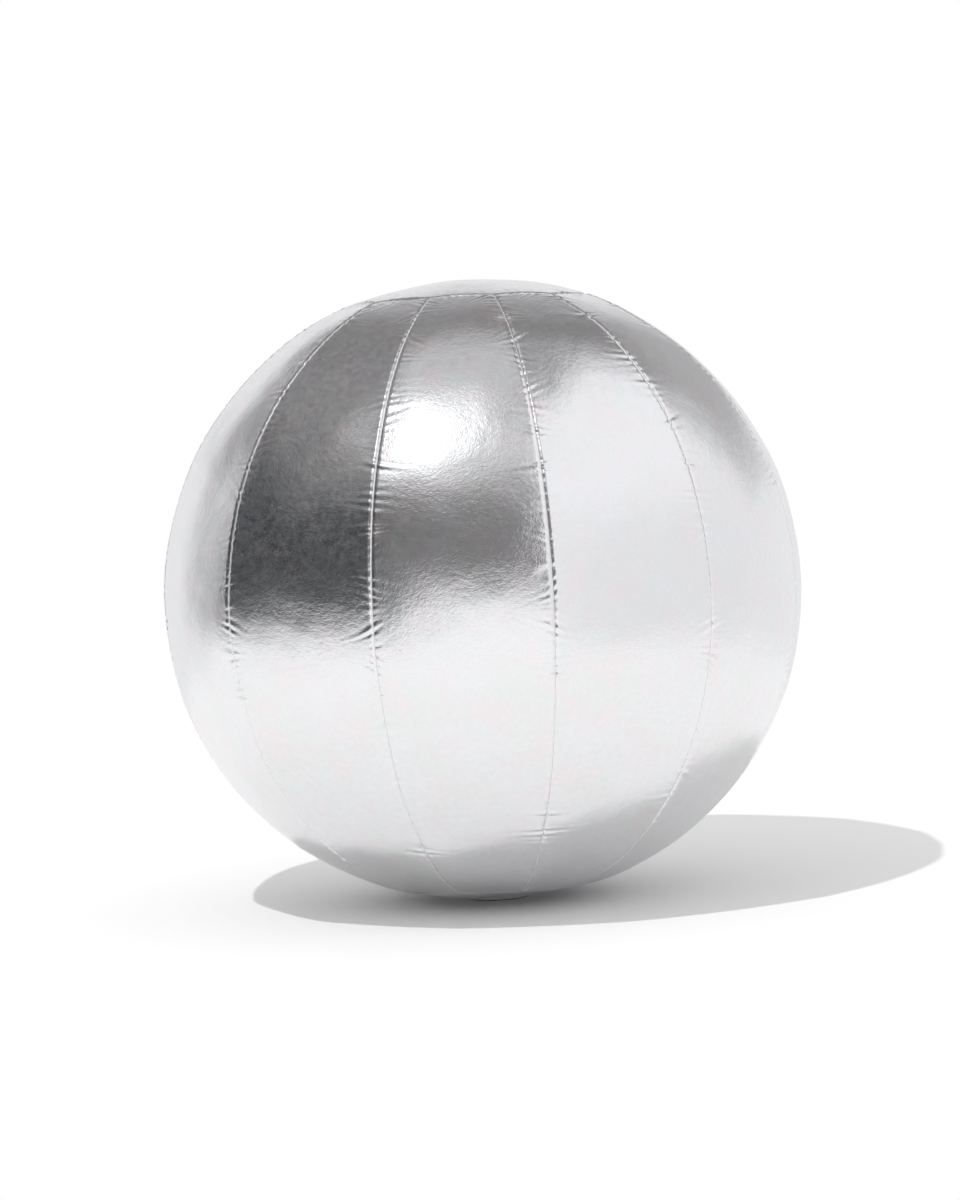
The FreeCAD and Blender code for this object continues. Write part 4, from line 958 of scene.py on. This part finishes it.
class Sky:
    """The studio's walls and lamps as brightness by direction. A panel has a brightness and, in
    degrees, the azimuth of its middle, half its width, its lower and upper elevation, and how
    softly its edges fade."""

    def __init__(self):
        world = bpy.data.worlds.new("studio")
        world.use_nodes = True
        SCENE.world = world
        self.tree = world.node_tree
        self.tree.nodes.clear()
        place = self.tree.nodes.new("ShaderNodeTexCoord").outputs["Generated"]
        split = self.tree.nodes.new("ShaderNodeSeparateXYZ")
        self.tree.links.new(place, split.inputs[0])
        x, y, z = split.outputs
        back = self.calculate("MULTIPLY", y, -1.0)
        self.azimuth = self.calculate("DEGREES", self.calculate("ARCTAN2", x, back))
        self.elevation = self.calculate("DEGREES", self.calculate("ARCSINE", z))
        self.level = None

    def calculate(self, kind, *values):
        made = self.tree.nodes.new("ShaderNodeMath")
        made.operation = kind
        for socket, value in zip(made.inputs, values):
            if isinstance(value, (int, float)):
                socket.default_value = value
            else:
                self.tree.links.new(value, socket)
        return made.outputs[0]

    def step(self, value, low, high):
        made = self.tree.nodes.new("ShaderNodeMapRange")
        made.interpolation_type = "SMOOTHSTEP"
        made.inputs["From Min"].default_value = low
        made.inputs["From Max"].default_value = high
        self.tree.links.new(value, made.inputs["Value"])
        return made.outputs["Result"]

    def panel(self, level, middle, half, low, high, soft=5.0):
        """Paints one panel over what is there."""
        aside = self.calculate("SUBTRACT", self.azimuth, middle)
        aside = self.calculate("ABSOLUTE", self.calculate("WRAP", aside, 180.0, -180.0))
        mask = self.calculate(
            "MULTIPLY",
            self.calculate("SUBTRACT", 1.0, self.step(aside, half - soft, half + soft)),
            self.calculate(
                "MULTIPLY",
                self.step(self.elevation, low - soft, low + soft),
                self.calculate("SUBTRACT", 1.0, self.step(self.elevation, high - soft, high + soft)),
            ),
        )
        if self.level is None:
            self.level = self.calculate("MULTIPLY", mask, level)
            return
        keep = self.calculate("MULTIPLY", self.level, self.calculate("SUBTRACT", 1.0, mask))
        self.level = self.calculate("ADD", keep, self.calculate("MULTIPLY", mask, level))

    def background(self, level):
        made = self.tree.nodes.new("ShaderNodeBackground")
        made.inputs["Color"].default_value = (1, 1, 1, 1)
        if isinstance(level, float):
            made.inputs["Strength"].default_value = level
            return made.outputs[0]
        self.tree.links.new(level, made.inputs["Strength"])
        tint = self.tree.nodes.new("ShaderNodeValToRGB")
        cool, plain = tint.color_ramp.elements
        cool.position = 0.05
        cool.color = (0.80, 0.92, 1.0, 1)
        plain.position = 0.14
        plain.color = (1.0, 0.975, 0.985, 1)
        bright = tint.color_ramp.elements.new(0.9)
        bright.color = (0.985, 0.985, 1.0, 1)
        self.tree.links.new(level, tint.inputs[0])
        self.tree.links.new(tint.outputs["Color"], made.inputs["Color"])
        return made.outputs[0]

    def choose(self, condition, otherwise, chosen):
        made = self.tree.nodes.new("ShaderNodeMixShader")
        self.tree.links.new(condition, made.inputs[0])
        self.tree.links.new(otherwise, made.inputs[1])
        self.tree.links.new(chosen, made.inputs[2])
        return made.outputs[0]

    def finish(self, white, ambient):
        """Paper white behind the ball, an even soft light on the floor, panels in reflections."""
        path = self.tree.nodes.new("ShaderNodeLightPath").outputs
        lit = self.choose(
            path["Is Diffuse Ray"], self.background(self.level), self.background(ambient)
        )
        seen = self.choose(path["Is Camera Ray"], lit, self.background(white))
        out = self.tree.nodes.new("ShaderNodeOutputWorld")
        self.tree.links.new(seen, out.inputs["Surface"])


KEY_AZIMUTH = math.radians(-27)
KEY_ELEVATION = math.radians(57)
KEY_DISTANCE = 3.3
KEY_RADIUS = 0.03
KEY_POWER = 16.0


def add_key():
    """The lamp that throws the ball's shadow. A panel in the sky stands for its reflection."""
    data = bpy.data.lights.new("key", "POINT")
    data.energy = KEY_POWER
    data.shadow_soft_size = KEY_RADIUS
    data.use_nodes = True
    tree = data.node_tree
    falloff = tree.nodes.new("ShaderNodeLightFalloff")
    falloff.inputs["Strength"].default_value = 1.0
    tree.links.new(falloff.outputs["Constant"], tree.nodes["Emission"].inputs["Strength"])
    lamp = bpy.data.objects.new("key", data)
    middle = Vector((0, 0, WAIST_Z))
    lamp.location = middle + towards(KEY_AZIMUTH, KEY_ELEVATION) * KEY_DISTANCE
    lamp.visible_glossy = False
    SCENE.collection.objects.link(lamp)


FLOOR_RADIUS = 1.05
FLOOR_SIDES = 96
AMBIENT = 0.84


ALL_ROUND = 400  # half a width that covers every azimuth
BELOW = -200  # elevations past every panel's lower and upper end
OVERHEAD = 200


def add_studio():
    """A dark room with a pale floor, white walls round three sides, a ceiling and a soft lamp,
    as they show in the foil. A later panel covers the ones before it."""
    sky = Sky()
    sky.panel(0.042, 0, ALL_ROUND, BELOW, OVERHEAD)  # the dark room
    sky.panel(1.05, 0, ALL_ROUND, BELOW, -7, 2.5)  # its pale floor
    sky.panel(0.16, -5, 25, -2, 38)  # dim room behind the camera
    sky.panel(0.25, -118, 60, 40, 82, 9)  # upper left
    sky.panel(0.60, 0, ALL_ROUND, 73, OVERHEAD, 3)  # ceiling
    sky.panel(0.22, 180, 62, 38, 70, 3)  # dark over the rear wall
    sky.panel(0.45, 155, 32, 16, 38, 5)  # half-lit top of the rear wall
    sky.panel(1.04, 74, 52, BELOW, 67, 4)  # big white wall on the right
    sky.panel(0.92, 82, 42, BELOW, 22, 9)  # its lower part
    sky.panel(0.96, 163, 39, BELOW, 16)  # rear wall, right
    sky.panel(0.46, 184, 15, BELOW, 50, 8)  # gap in the middle of the rear wall
    sky.panel(0.94, -157, 35, BELOW, 30, 3)  # rear wall, left
    sky.panel(0.36, -131, 11, 19, 38, 3)  # shade on its upper left end
    sky.panel(1.15, -112.5, 3.0, BELOW, 31, 1.5)  # thin bright edge on the left
    sky.panel(1.10, 2, 20, BELOW, 4, 2.5)  # floor in front, towards the camera
    sky.panel(0.64, -14, 32, 40, OVERHEAD, 10)  # wide glow round the lamp
    sky.panel(0.20, -66, 17, 30, 62, 6)  # faint light left of it
    sky.panel(0.85, -72, 7, 47, 58, 4)  # small soft lamp on the left
    sky.panel(0.95, -20, 20, 47, 76, 9)  # inner glow
    sky.panel(3.6, -24, 11, 53, 69, 8)  # the lamp
    sky.finish(1.0, AMBIENT)
    add_key()
    turn = 2 * math.pi / FLOOR_SIDES
    rim = [
        (FLOOR_RADIUS * math.cos(i * turn), FLOOR_RADIUS * math.sin(i * turn), 0)
        for i in range(FLOOR_SIDES)
    ]
    floor = new_piece("studio_floor", rim, [tuple(range(FLOOR_SIDES))], smooth=False)
    paper = bpy.data.materials.new("studio_paper")
    paper.use_nodes = True
    shader = paper.node_tree.nodes["Principled BSDF"]
    shader.inputs["Base Color"].default_value = (0.9, 0.9, 0.9, 1)
    shader.inputs["Roughness"].default_value = 0.9
    shader.inputs["Specular IOR Level"].default_value = 0.0
    floor.data.materials.append(paper)
    SCENE.view_settings.view_transform = "Standard"


add_studio()
add_camera()
